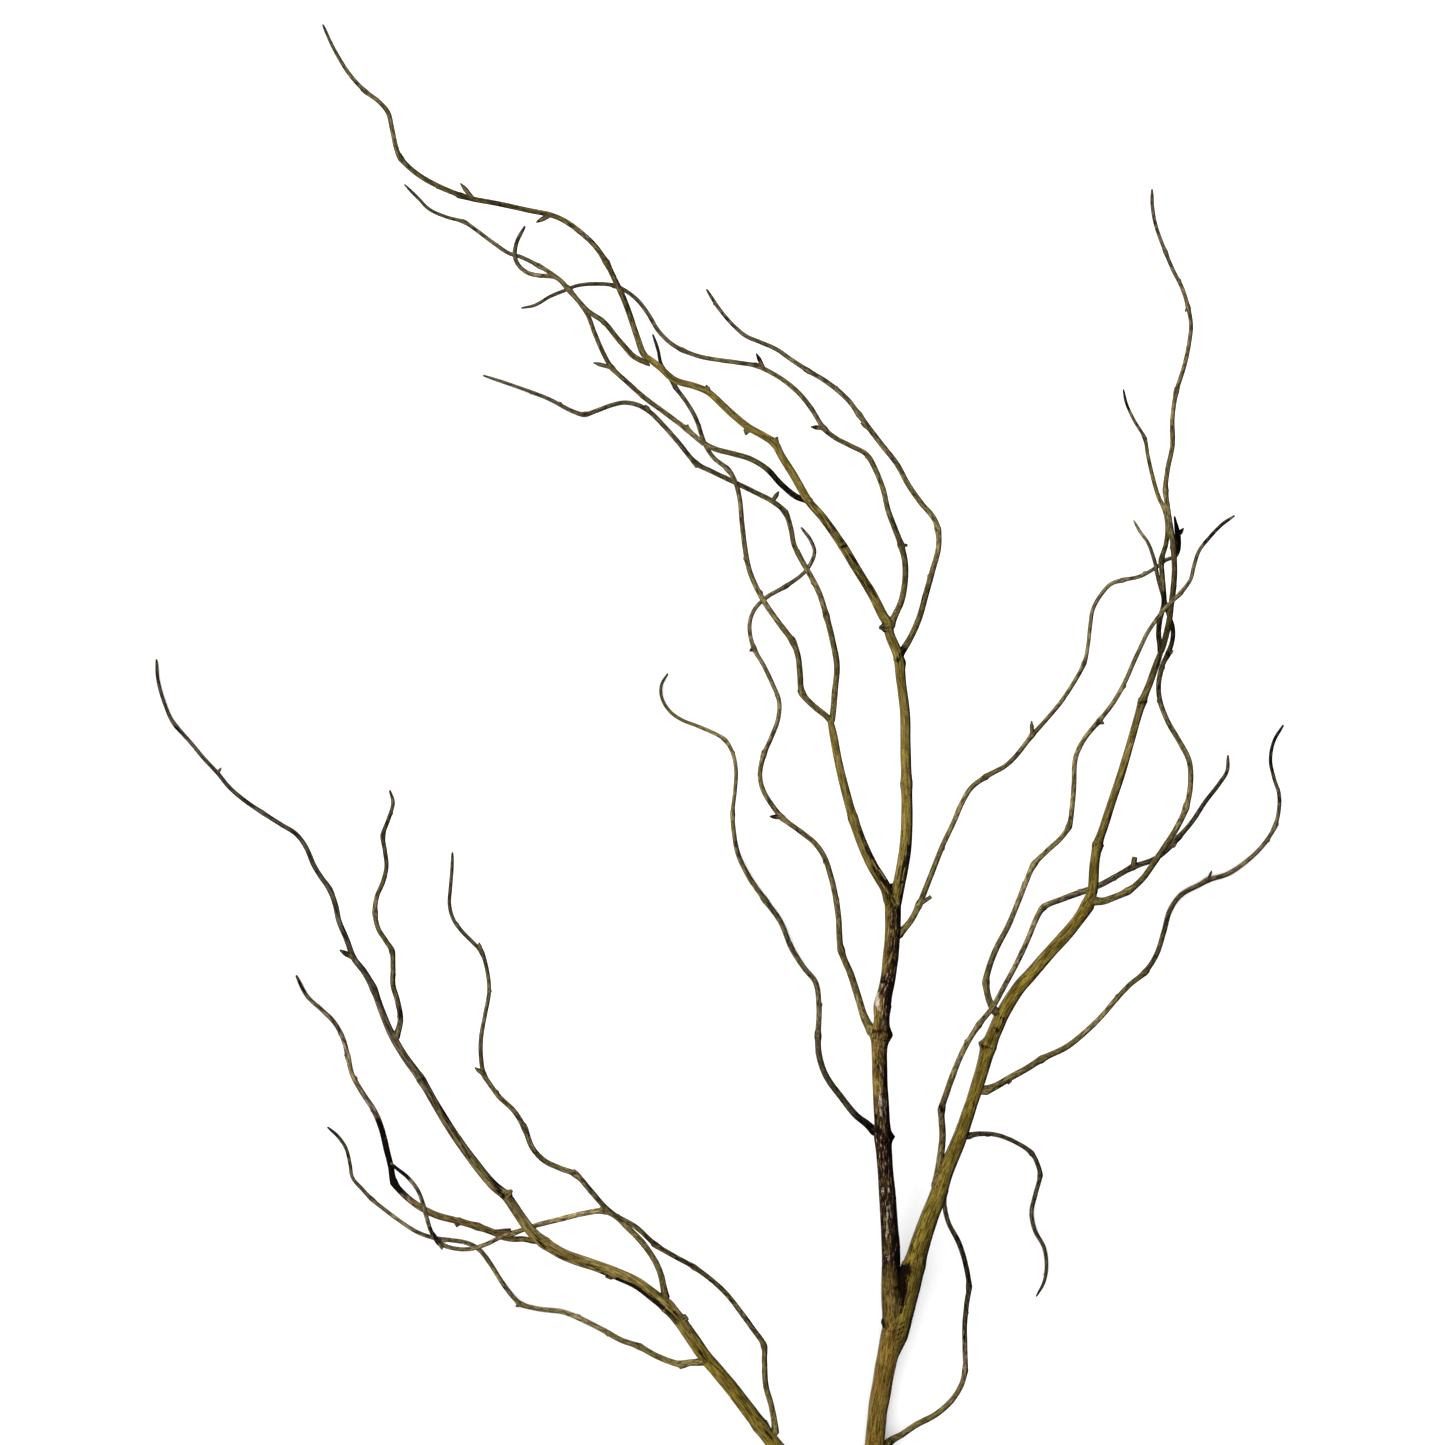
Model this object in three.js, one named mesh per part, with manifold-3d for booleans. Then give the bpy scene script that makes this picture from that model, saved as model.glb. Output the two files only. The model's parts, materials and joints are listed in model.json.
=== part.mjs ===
// A dried branch of a curly willow, cut from the tree and laid down on a flat surface.
// Millimetres, +Z up. The sawn end points to -Y, the tips to +Y, and the surface is z = 0.
//
// The branch is split at its forks. Every shoot is one solid: a tapered tube bent along a smooth
// route, thicker at its knots and its base, with its spurs and buds grown onto it. A shoot starts
// inside the one that carries it and is trimmed to that one's surface, less a small gap.

import * as THREE from 'three';
import { mergeVertices } from 'three/addons/utils/BufferGeometryUtils.js';
import Module from 'manifold-3d';

const wasm = await Module();
wasm.setup();

// The routes are points of the view from straight above: across and down, in picture points.
const SIGHT_SCALE = 0.7; // mm on the surface for one picture point
const SIGHT_MIDDLE = { across: 722.5, down: 722.5 }; // the point right below the eye
const EYE_HEIGHT = 5000; // height of the eye above the surface, mm
const ORIGIN = { across: 717.6, down: 857.3 }; // the point that lies at x = 0, y = 0

// Sizes of what all shoots share, mm
const TRIM_GAP = 0.3; // between a shoot and what it grows from
const LONGEST_STEP = 30; // between two sections of a straight stretch
const SHORTEST_STEP = 7; // between two sections of a tight bend
const STEP_CHANGE = 1; // by which a step is shortened until it fits the bend
const TWIG_SLACK = 0.45; // how far a twig's straight step may cut inside its bend
const LIMB_SLACK = 0.3; // the same for a limb
const FLARE_REACH = 4.5; // how far the thick base of a shoot reaches along it
const ROOT_DEPTH = 10; // how far a root is drawn back where it trims its neighbour
const DOME_SECTIONS = [0.55, 0.92]; // sections of a rounded end, in radii from its start

// Shares of a shoot's own thickness
const FLARE = 0.38; // extra thickness where a shoot leaves its parent
const ROOT_SHARE = 0.8; // thickness at the root, inside the parent
const KNOT_SWELL = 0.2; // extra thickness at a knot
const TIP_SHARE = 0.62; // the last section, against the thickness given for the tip
const SPUR_SHARE = 0.72; // a spur's base, against the shoot that carries it
const SPUR_POINT = 0.16; // a spur's tip, against its base
const STUB_POINT = 0.78; // a cut stub's end, against its base

const TWIG_SIDES = 5;
const LIMB_SIDES = 7;
const TRUNK_SIDES = 9;
const SPUR_SIDES = 4;

// The bark of each shoot
const BARKS = {
  olive: new THREE.MeshStandardMaterial({ color: 0x7d7036, roughness: 0.72, metalness: 0 }),
  dark: new THREE.MeshStandardMaterial({ color: 0x3a2a20, roughness: 0.8, metalness: 0 }),
  grey: new THREE.MeshStandardMaterial({ color: 0x77704f, roughness: 0.78, metalness: 0 }),
};

// One entry for each shoot, a parent always before what grows from it.
//   thick   diameters in mm at equal steps from the root to the tip
//   route   [across, down, lift], where lift is the height of its underside in mm
//   knots   places in the route, by number, where it swells
//   spurs   [place in the route, across and down of the spur's tip, its rise in mm]
//   stubs   the same for short ends that were cut
//   clear   shoots beside it, besides its parent, that its root is trimmed to
//   straightOn   carries its parent on, so its base has no collar
//   dome    ends rounded, inside the shoots that carry it on
const SHOOTS = [
  {
    name: 'trunk',
    bark: 'olive',
    sides: TRUNK_SIDES,
    thick: [17.8, 17.2, 16.4, 14.6, 13.4, 13.6, 16.4],
    route: [
      [845, 1690, 0], [851, 1640, 0], [858, 1590, 0], [864, 1545, 0], [871, 1490, 1],
      [875.6, 1434, 2], [878, 1411, 3], [882, 1387, 4], [885, 1369, 5], [889.5, 1348, 6],
      [892.5, 1333, 7], [895, 1318, 8],
    ],
    dome: true,
  },
  {
    name: 'centre_stem',
    parent: 'trunk',
    straightOn: true,
    bark: 'dark',
    sides: LIMB_SIDES,
    thick: [13.0, 13.0, 11.3, 10.8, 10.6, 10.7, 11.4],
    route: [
      [892, 1333, 9], [891.5, 1318, 10], [891, 1288, 12], [891, 1251, 16], [889.2, 1222, 19],
      [887.3, 1194, 22], [885, 1165, 25], [883, 1137, 28], [881.5, 1108, 31], [880, 1080, 33],
      [879.5, 1051, 35], [880, 1034, 36], [881.5, 1022, 37], [882.5, 1005, 38], [887.5, 982, 40],
      [890, 963, 41], [892.5, 936, 43], [893, 913, 45], [891, 889, 47],
    ],
    knots: [7, 11, 14],
    stubs: [[7, 893, 1138, 1], [11, 893.5, 1033, 1]],
    dome: true,
  },
  {
    name: 'centre_limb',
    parent: 'centre_stem',
    straightOn: true,
    bark: 'olive',
    sides: LIMB_SIDES,
    thick: [8.8, 8.2, 7.3, 6.9, 7.1],
    route: [
      [891, 896, 47], [893, 887, 47], [901.6, 876.3, 49], [905.6, 846, 52], [907, 815, 55],
      [906.5, 783, 58], [905.5, 744, 61], [905, 713, 63], [901.2, 682, 65], [898, 655, 66],
      [890.5, 636.5, 67], [888, 627, 67],
    ],
    knots: [5, 11],
    stubs: [[11, 877.5, 629, 0]],
    dome: true,
  },
  {
    name: 'centre_limb_top',
    parent: 'centre_limb',
    straightOn: true,
    bark: 'olive',
    sides: LIMB_SIDES,
    thick: [6.8, 6.2, 5.7, 5.2, 4.7, 4.5],
    route: [
      [889, 632, 67], [888, 625, 67], [882, 614, 67.5], [871.2, 592.4, 68], [858.2, 571.5, 68],
      [842, 545, 67], [823, 518, 66], [808.5, 501, 65], [794, 476, 63], [782, 457, 61],
      [774, 443, 60], [762, 435, 59], [748, 427, 58], [731.5, 413.5, 57], [708, 392, 55],
      [695.5, 386.5, 54], [674.5, 380, 53], [659.5, 367, 52], [643, 354, 50],
    ],
    knots: [10],
    spurs: [[12, 746, 434, 0], [10, 777, 438, 0], [14, 706.5, 386, 0]],
    dome: true,
  },
  {
    name: 'side_limb',
    parent: 'centre_stem',
    clear: ['centre_limb'],
    straightOn: true,
    bark: 'olive',
    sides: LIMB_SIDES,
    thick: [8.2, 7.0, 5.8, 5.3],
    route: [
      [891, 896, 47], [887, 886, 47], [880.5, 879.5, 46], [872, 866, 46], [862.5, 844, 46],
      [853, 817.5, 45], [845, 789, 44], [838.1, 760, 43], [833.2, 733.5, 42], [830, 719, 41],
    ],
    knots: [5],
    dome: true,
  },
  {
    name: 'left_limb',
    parent: 'trunk',
    bark: 'olive',
    sides: LIMB_SIDES,
    thick: [11.0, 10.4, 9.6, 8.5, 7.6, 6.2, 5.4, 4.0, 3.3, 2.9, 2.4],
    route: [
      [866, 1562, 4], [852, 1542, 5], [826, 1508, 7], [800, 1475, 9], [772.5, 1442, 12],
      [760, 1425.5, 14], [746.3, 1407.4, 16], [732.2, 1389, 18], [717.6, 1371.5, 20],
      [704.5, 1356, 22], [692, 1338, 24], [680, 1321, 26], [667, 1306, 27], [653, 1295, 28],
      [636.6, 1283, 29], [617, 1274, 31], [596.3, 1266, 32], [578, 1260, 33], [562.3, 1253.8, 34],
      [543.6, 1242.2, 36], [531, 1231, 37], [520, 1216, 38], [506, 1196, 40], [493, 1185, 41],
      [471.8, 1159, 44], [452.5, 1132, 46], [435.4, 1104, 48], [421, 1079.2, 49],
      [404, 1055.5, 50], [391.2, 1033.4, 50], [381, 1009, 50], [373.4, 988.2, 49], [364, 971.5, 48],
      [354, 958.5, 47], [346.5, 939, 45], [339, 921, 43], [335.5, 905, 41],
      [329.5, 889, 39], [321, 877, 37], [314, 865.5, 35], [305.5, 846.5, 32], [296, 834, 29],
      [281, 824.5, 25], [261.5, 812, 20], [245, 800.8, 16], [229, 787, 12],
      [217.5, 773, 8], [204, 758.5, 5], [191, 743, 3], [175, 725, 1], [170.5, 718, 0.5],
      [163, 699, 0], [158, 680, 0], [156.5, 660, 0],
    ],
    knots: [5, 12, 19, 27, 31, 37, 43, 49],
    spurs: [[33, 344, 951.5, 1], [46, 212, 775, 0], [22, 511, 1191, 1], [15, 608, 1279, 0]],
    stubs: [[11, 688, 1315, 2]],
  },
  {
    name: 'right_limb',
    parent: 'trunk',
    clear: ['centre_stem'],
    straightOn: true,
    bark: 'olive',
    sides: LIMB_SIDES,
    thick: [13.4, 13.7, 11.4, 8.9, 9.8, 8.6, 8.2],
    route: [
      [898, 1336, 9], [902, 1321, 9.5], [906, 1304, 11], [909.5, 1289.5, 13], [914.5, 1264.5, 16],
      [920.8, 1241.8, 20], [929.5, 1216.5, 24], [938.4, 1194, 28], [945, 1172.5, 31],
      [958, 1142, 34], [970, 1107.5, 36], [980.3, 1075.8, 37], [989, 1045.5, 37], [996, 1028, 37],
      [1004, 1011, 37], [1019.6, 986.5, 36], [1030, 975, 36], [1050, 952, 36],
      [1072.7, 926.6, 37], [1087.5, 905, 39], [1093, 888, 40.5],
    ],
    knots: [4, 12, 19],
    stubs: [[12, 981, 1044, 1]],
    dome: true,
  },
  {
    name: 'right_limb_top',
    parent: 'right_limb',
    straightOn: true,
    bark: 'olive',
    sides: LIMB_SIDES,
    thick: [7.4, 6.3, 5.8, 5.5, 5.1, 4.7],
    route: [
      [1092.5, 892, 40.5], [1093.5, 882, 41], [1094.6, 863, 43], [1098, 844, 45],
      [1104, 826.3, 47], [1112, 801.3, 50], [1121.3, 773.5, 52], [1129.5, 746, 54],
      [1136, 723, 55], [1143, 700, 56], [1149.5, 683.5, 56], [1156, 665, 55], [1161.5, 650, 54],
    ],
    knots: [3, 9],
    dome: true,
  },
  {
    name: 'centre_tip_twig',
    parent: 'centre_limb_top',
    straightOn: true,
    bark: 'grey',
    thick: [4.5, 3.9, 3.7, 3.6, 3.6, 3.1, 2.2],
    route: [
      [648, 359, 50.5], [643, 353, 51], [637.2, 337, 53], [629.5, 314, 57], [622.5, 296, 60],
      [615, 280, 62], [606, 262, 64], [595, 246, 66], [579, 231, 68], [565, 221, 70],
      [551, 215, 72], [529.7, 210.5, 74], [500, 204, 76], [473, 199, 76], [461, 195.5, 75],
      [438, 186, 72], [418, 174.5, 67], [400.5, 158, 60], [396, 147, 56], [392, 128.5, 50],
      [388, 112.5, 44], [378.2, 101, 38], [365, 91, 31], [349, 73.5, 22], [334, 49, 10],
      [323, 25, 0],
    ],
    knots: [6, 14, 17, 22],
    spurs: [[10, 537, 222, -2], [13, 461, 184, 3]],
  },
  {
    name: 'centre_hook_twig',
    parent: 'centre_limb_top',
    clear: ['centre_tip_twig'],
    straightOn: true,
    bark: 'grey',
    thick: [4.0, 3.6, 3.5, 3.1, 2.8],
    route: [
      [650, 366, 50.5], [645, 362, 50.5], [640, 360, 50.5], [632, 355, 50.5], [625, 347, 51],
      [616.5, 337.2, 52], [604, 322, 53], [588, 311, 53], [578.5, 301, 53], [569, 290, 53],
      [556, 277.5, 53], [539, 275.5, 53], [528.4, 273, 53], [519.9, 266.8, 53], [515, 257, 54],
      [516.5, 243, 56], [524.5, 227, 60],
    ],
    knots: [9],
  },
  {
    name: 'centre_long_twig',
    parent: 'centre_limb_top',
    bark: 'grey',
    thick: [4.2, 3.9, 3.5, 3.3, 3.1, 2.8, 2.3],
    route: [
      [813, 505, 65.5], [808, 500.5, 65], [797, 497, 63], [781, 484, 60], [767, 469, 57],
      [750.5, 459, 53], [732.2, 453.5, 49], [714, 448.5, 45], [700, 440.5, 43], [686.5, 429, 42],
      [664, 412, 42], [645, 398, 43], [627, 382, 44], [612, 368, 45], [604, 354.5, 46],
      [595, 334, 46], [588, 315.5, 46], [579, 302, 46], [569, 290, 46], [555, 276, 46],
      [539, 266, 46], [521, 257, 46], [508.5, 253, 46], [493.5, 243, 47], [477.5, 231, 49],
      [464, 222, 52], [445, 216.5, 56], [429, 209, 60], [418, 198, 64], [405, 185, 68],
    ],
    knots: [9, 13, 20, 25],
    spurs: [[13, 597, 365.5, 0], [9, 690, 423, 0]],
  },
  {
    name: 'centre_inner_twig',
    parent: 'centre_limb',
    clear: ['centre_limb_top'],
    bark: 'grey',
    thick: [4.5, 4.0, 3.5, 3.3, 3.0, 2.9, 2.3],
    route: [
      [889.5, 632, 67], [891, 625, 67.5], [895, 615, 68], [901, 602, 70], [905, 581, 73],
      [905, 562, 76], [901, 544.8, 79], [895, 529, 81], [888, 510, 83], [883, 489, 84],
      [875, 468.6, 84], [866.5, 454.5, 83], [851, 446, 82], [835.4, 438, 80], [824, 428.5, 78],
      [811, 408, 76], [798.4, 392.7, 74], [781, 378.5, 72], [764, 369, 71], [757.5, 366, 70],
      [737, 362.5, 68], [719, 360, 66], [699.8, 356.5, 64], [682, 350, 62], [670.5, 343, 60],
      [658.2, 330.7, 57], [647.5, 313, 54], [635.2, 298, 51], [615.5, 286, 47], [592, 284, 43],
      [576, 286, 40], [566, 290, 38], [551, 296, 35], [534.6, 305.3, 32], [522, 308, 30],
    ],
    knots: [6, 14, 19, 23, 28],
    spurs: [[6, 907, 546, 0], [14, 811.5, 427, 0], [18, 756.5, 354, 2]],
  },
  {
    name: 'centre_outer_twig',
    parent: 'centre_limb',
    bark: 'grey',
    thick: [4.7, 4.2, 3.8, 3.8, 3.5, 3.0, 2.5],
    route: [
      [894, 661, 66], [899.5, 655, 66.5], [910, 638.6, 68], [919.4, 617.5, 71], [926, 594, 75],
      [932.5, 571, 80], [938.5, 548, 85], [938, 529.2, 90], [932.7, 516.5, 94], [922, 504, 98],
      [908.5, 485, 103], [897, 464, 107], [882, 445, 110], [870.5, 430, 112],
      [859, 414.5, 113], [849, 401, 113], [838, 390.5, 113], [824, 380, 112],
      [808, 370.5, 110], [792, 360, 107], [776, 349, 103], [760, 342, 99], [746, 336, 95],
      [732.5, 324.5, 91], [719, 308.5, 88], [707, 290, 86],
    ],
    knots: [7, 14, 18],
    spurs: [[14, 864, 422, 0]],
  },
  {
    name: 'side_low_twig',
    parent: 'side_limb',
    straightOn: true,
    bark: 'grey',
    thick: [4.4, 4.1, 3.7, 3.5, 3.4, 3.1, 2.0],
    route: [
      [831, 726, 41], [833, 713, 41], [835, 690.5, 43], [837, 666, 46], [832.8, 641.2, 49],
      [826.4, 615.4, 52], [819, 592.5, 53], [809, 573, 53], [801.5, 560, 52], [794, 544.5, 50],
      [791, 529, 47], [785, 512, 44], [772.3, 501.2, 42], [755.5, 492.5, 38], [734, 482, 34],
      [712, 471.5, 30], [696, 463, 27], [678.3, 442.2, 22], [664, 426, 18], [650, 412, 14],
      [638, 405, 12], [624.4, 402.5, 10], [611.4, 405.2, 9], [597, 410.5, 9], [584.5, 414.5, 9],
      [572, 411, 8], [549, 399, 5], [526, 390, 2], [503, 382, 0], [483.5, 375.5, 0],
    ],
    knots: [5, 11, 16, 24],
    spurs: [[12, 778.5, 492, 2], [16, 696, 467.5, 0], [19, 645.5, 405.5, 1]],
  },
  {
    name: 'side_inner_twig',
    parent: 'side_limb',
    clear: ['side_low_twig'],
    straightOn: true,
    bark: 'grey',
    thick: [4.2, 4.1, 3.8, 3.5, 3.2, 3.0, 2.3],
    route: [
      [832, 724, 41.5], [827, 717, 42], [813.5, 706, 44], [802, 692.5, 46], [800, 674, 47],
      [798, 656, 48], [792.7, 641.7, 48], [778, 621.7, 47], [763, 600, 46], [750, 572, 46],
      [745, 548, 46], [742, 523, 46], [739.5, 498, 45], [735, 481, 43], [728, 469.5, 41],
      [714, 458, 39], [706, 446.5, 37], [701.5, 435, 36], [696, 419, 36], [687, 403, 37],
      [675, 386.5, 38], [668, 375, 38], [661, 363.5, 38], [658, 350, 40], [653, 335, 43],
    ],
    knots: [3, 6, 14, 20],
  },
  {
    name: 'stem_upper_twig',
    parent: 'centre_stem',
    bark: 'grey',
    thick: [4.9, 4.5, 3.9, 3.6, 3.3, 3.1, 3.0, 2.6],
    route: [
      [877, 1036, 37.5], [872, 1028, 38], [866, 1018, 38.5], [858.5, 998, 40],
      [851, 975, 42], [841, 950, 45], [838.5, 917, 48], [834, 889.3, 50], [830.8, 876.4, 50],
      [825, 858.5, 50], [815.5, 844, 49], [799, 830.5, 47], [782.3, 817.7, 45], [770.5, 803, 43],
      [762.5, 788.5, 41], [760, 774, 40], [764, 754.3, 38], [770.8, 738.4, 37],
      [778, 719.2, 36], [779, 701, 34], [772, 683, 32], [764, 666, 30], [754, 648.5, 29],
      [750, 634, 29], [750, 621, 29], [755.5, 608, 30], [767, 597, 31], [786, 586, 33],
      [801.5, 575, 36], [809, 566.5, 38], [814.5, 552, 41], [810.1, 539.4, 44],
      [801.5, 528, 47],
    ],
    knots: [5, 12, 16, 22, 27],
    spurs: [[12, 770.5, 816.5, 0], [22, 750, 651, 0]],
  },
  {
    name: 'stem_lower_twig',
    parent: 'centre_stem',
    bark: 'grey',
    thick: [4.9, 4.4, 3.8, 3.7, 3.5, 2.8, 2.7, 2.1],
    route: [
      [880, 1138, 29.5], [874, 1131, 30], [866, 1123.5, 30.5], [855.8, 1115.2, 30],
      [841, 1097, 29], [826, 1076, 27], [819, 1055, 24], [818, 1036, 20], [819, 1009, 15],
      [815.5, 982.5, 10], [803.9, 967.8, 7], [791.5, 948, 3], [780, 921, 0.5], [765, 900, 0],
      [748.8, 876.7, 1], [738, 854, 4], [734, 833.5, 8], [732.5, 814, 12], [735, 790.5, 16],
      [736, 772, 18], [733, 754, 19], [725, 740, 19], [711.5, 732, 17], [697, 726, 14],
      [681, 719.5, 10], [669.5, 711, 6], [661.5, 697, 2], [661.5, 684.5, 0],
      [667.5, 674, 0],
    ],
    knots: [7, 13, 17, 21],
  },
  {
    name: 'stem_right_twig',
    parent: 'centre_stem',
    bark: 'grey',
    thick: [4.6, 3.8, 3.6, 3.2, 2.9, 2.9, 2.4],
    route: [
      [893, 941, 44.5], [900, 933, 45], [910.7, 920.8, 44.5], [919, 905, 44],
      [931.3, 874.3, 44], [942, 847, 43], [953.5, 822.5, 42], [962.1, 802.6, 40], [971, 788, 39],
      [986, 776.5, 37], [1005, 766, 35], [1015, 757, 34], [1032, 735.5, 32],
      [1045, 721, 31], [1063, 699, 30], [1084, 663.5, 29], [1088, 645, 29], [1090, 627, 29],
      [1093, 609, 30], [1101.5, 594, 31], [1111, 584, 33], [1123, 580, 34],
      [1139.5, 576.5, 35], [1156, 567.5, 36], [1166, 560, 36], [1176, 556, 36],
      [1179, 549, 37], [1179, 536, 39], [1175.5, 518, 42],
    ],
    knots: [3, 9, 12, 15, 21],
    spurs: [[12, 1031.5, 721.5, 2], [27, 1182, 527, 0]],
    stubs: [[3, 931, 896.5, 1]],
  },
  {
    name: 'right_tip_twig',
    parent: 'right_limb_top',
    straightOn: true,
    bark: 'grey',
    thick: [4.4, 4.1, 3.6, 3.3, 3.1, 2.8, 2.7],
    route: [
      [1159, 656, 54], [1162.5, 648, 54.5], [1166, 635.5, 55], [1169.5, 619, 57],
      [1171, 606, 58], [1173, 591, 60], [1174.5, 569, 63], [1173, 544, 66],
      [1170, 523, 69], [1167.5, 506, 71], [1165.5, 490, 73], [1167.5, 470, 75],
      [1172.5, 445, 77], [1172.5, 418, 78], [1176.5, 391, 78], [1184, 367, 77],
      [1189, 344, 75], [1191, 325, 72], [1188, 307.2, 69], [1182.5, 289, 65],
      [1173, 270, 60], [1165.5, 252, 54], [1156, 226, 44], [1152.5, 207.5, 36],
      [1152, 190, 28],
    ],
    knots: [10, 14, 18, 21],
    spurs: [[18, 1184.5, 312, 0]],
  },
  {
    name: 'right_short_twig',
    parent: 'right_limb_top',
    clear: ['right_tip_twig'],
    straightOn: true,
    bark: 'grey',
    thick: [3.9, 3.8, 3.5, 3.1, 2.5, 2.1],
    route: [
      [1159.5, 656, 54], [1160, 648, 54], [1158.5, 633, 54], [1160, 619, 54],
      [1164, 604, 54], [1163.7, 592, 54], [1162.5, 577, 54], [1161.5, 560, 54],
      [1166, 544, 54], [1167.5, 528, 54], [1165, 511, 54], [1158.4, 496.4, 54],
      [1153, 478, 53], [1148, 456.5, 51], [1144.5, 438, 48], [1134, 420, 44],
      [1126.5, 403.5, 39], [1123.5, 390, 34],
    ],
    knots: [7, 14],
  },
  {
    name: 'right_bow_twig',
    parent: 'right_limb',
    clear: ['right_limb_top'],
    bark: 'grey',
    thick: [4.8, 4.3, 4.0, 3.7, 3.6, 3.1, 2.3],
    route: [
      [1087, 903, 41], [1094, 901, 41.5], [1102.4, 901, 42], [1112, 898, 42],
      [1128, 891, 42], [1142.2, 879, 42], [1153, 864, 42], [1164, 847.5, 42],
      [1176, 829, 43], [1186, 807.5, 44], [1190.5, 783, 45], [1189, 761, 45],
      [1179, 741, 45], [1167.5, 721, 45], [1160, 701, 45], [1158.5, 685, 44],
      [1162.5, 665, 44], [1168, 653.5, 45], [1172.5, 639, 46], [1172.5, 627, 46],
      [1169.5, 617.4, 46], [1164, 599, 46], [1157.5, 576, 46], [1154.5, 561, 46],
      [1148, 543, 45], [1139.5, 531, 43], [1134, 521, 41],
    ],
    knots: [4, 9, 17],
    spurs: [[17, 1174.5, 650, 0]],
  },
  {
    name: 'right_inner_twig',
    parent: 'right_limb',
    bark: 'grey',
    thick: [4.6, 4.1, 3.7, 3.6, 3.4, 3.0, 2.8, 2.5],
    route: [
      [1000, 1018, 41], [995, 1011, 41.5], [989.5, 1001, 42.5], [986, 982, 45],
      [988.2, 970.4, 47], [995.5, 950.5, 50], [1009, 924, 54], [1018.5, 901, 58],
      [1026, 882, 62], [1034, 864.5, 65], [1047, 851, 68], [1060, 839, 70],
      [1069, 826, 72], [1072, 808, 74], [1074, 785, 76], [1074.5, 765, 77],
      [1077, 753, 77], [1085, 738, 77], [1099, 721, 76], [1113, 703, 75],
      [1124.5, 683, 74], [1134, 661.4, 73], [1143.6, 640.6, 72], [1148, 632, 71],
      [1159.5, 615.5, 70], [1169.5, 604, 69], [1181, 592.5, 68], [1190.4, 579.7, 66],
      [1194, 566, 64], [1199, 551, 61], [1209, 538, 57], [1222, 524.5, 52],
      [1234, 516, 46],
    ],
    knots: [3, 9, 12, 18, 26],
    spurs: [[18, 1103.5, 723.5, 0]],
  },
  {
    name: 'right_crossing_twig',
    parent: 'right_limb',
    bark: 'grey',
    thick: [5.4, 4.6, 4.0, 3.7, 3.8, 4.3, 3.9, 3.3, 2.7],
    route: [
      [937, 1194, 33], [936.5, 1184, 34], [940, 1160, 36], [942.5, 1137, 38],
      [941.7, 1109, 41], [946.5, 1093, 43], [954, 1072, 46], [964, 1049, 48],
      [979, 1024.5, 51], [992, 1008, 51], [1005, 985, 48], [1018, 960.5, 43],
      [1028, 939, 38], [1037.5, 916, 33], [1043.6, 907, 31], [1062.5, 899, 29],
      [1083, 891.5, 28], [1099, 885.5, 28], [1115, 877, 29], [1133, 867, 30],
      [1154.5, 859, 30], [1170, 847, 30], [1179, 837, 29], [1192.5, 821, 26],
      [1205.2, 801.9, 22], [1219, 784, 16], [1227, 771, 11], [1228, 756, 6],
    ],
    knots: [4, 8, 14, 19, 22],
    spurs: [[21, 1176, 844, 0]],
    stubs: [[19, 1134.5, 856, 2]],
  },
  {
    name: 'right_outer_twig',
    parent: 'right_limb',
    bark: 'grey',
    thick: [5.0, 4.4, 3.6, 3.7, 3.5, 3.1, 2.8, 2.4],
    route: [
      [978, 1093, 38], [984, 1091, 38.5], [996, 1086, 38], [1009.5, 1078, 38],
      [1027.6, 1068, 37], [1042, 1059, 36], [1065.8, 1047.4, 33], [1079.3, 1037.3, 31],
      [1099, 1019, 27], [1114.8, 1000.8, 23], [1129.5, 985, 19], [1145, 972, 15],
      [1156.5, 954.5, 11], [1164, 931.5, 7], [1170, 910.5, 4], [1181, 895, 2],
      [1200, 884.5, 0], [1208, 880, 0], [1227.5, 874, 0], [1247.5, 860.5, 1],
      [1264, 844, 4], [1275, 826, 8], [1279, 809, 13], [1279, 794, 18], [1274, 778, 24],
      [1270.5, 759.5, 31], [1274, 741, 38], [1283, 725.5, 44],
    ],
    knots: [5, 11, 17, 21],
    spurs: [[17, 1211.5, 872.5, 2], [3, 1011, 1083, 0]],
  },
  {
    name: 'right_curl_twig',
    parent: 'right_limb',
    bark: 'grey',
    thick: [3.6, 3.1, 3.2, 3.1, 2.7, 2.2],
    route: [
      [961, 1139, 36], [967, 1136.5, 36], [977.2, 1134, 34], [995.8, 1134.7, 30],
      [1015, 1142, 24], [1031.4, 1153, 18], [1038.5, 1167, 13], [1040, 1176, 10],
      [1035.5, 1194, 5], [1031.5, 1213, 1], [1035, 1230.6, 0], [1044, 1247.5, 0],
      [1046.5, 1266.5, 1], [1044, 1282, 4], [1036.5, 1296, 8],
    ],
    knots: [5, 7],
  },
  {
    name: 'trunk_bow_twig',
    parent: 'trunk',
    bark: 'grey',
    thick: [4.6, 4.2, 3.6, 3.6, 3.5, 2.8],
    route: [
      [879, 1451, 5], [885, 1446, 5], [892, 1440, 5], [901.2, 1435, 5], [916, 1425, 6],
      [936.5, 1414, 8], [952, 1400, 10], [961.5, 1384.5, 12], [965, 1370, 13],
      [965, 1348, 14], [964.7, 1325, 15], [966.5, 1305, 15], [969, 1286, 15],
      [965.8, 1265.2, 15], [959, 1243, 15], [948.5, 1222.5, 15], [944.5, 1205, 16],
      [945.5, 1192, 17], [949, 1179, 19],
    ],
    knots: [8, 12],
  },
  {
    name: 'left_arch_twig',
    parent: 'left_limb',
    bark: 'grey',
    thick: [4.2, 3.9, 3.5, 3.6, 4.0, 3.6, 3.0, 2.9, 2.5],
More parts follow.
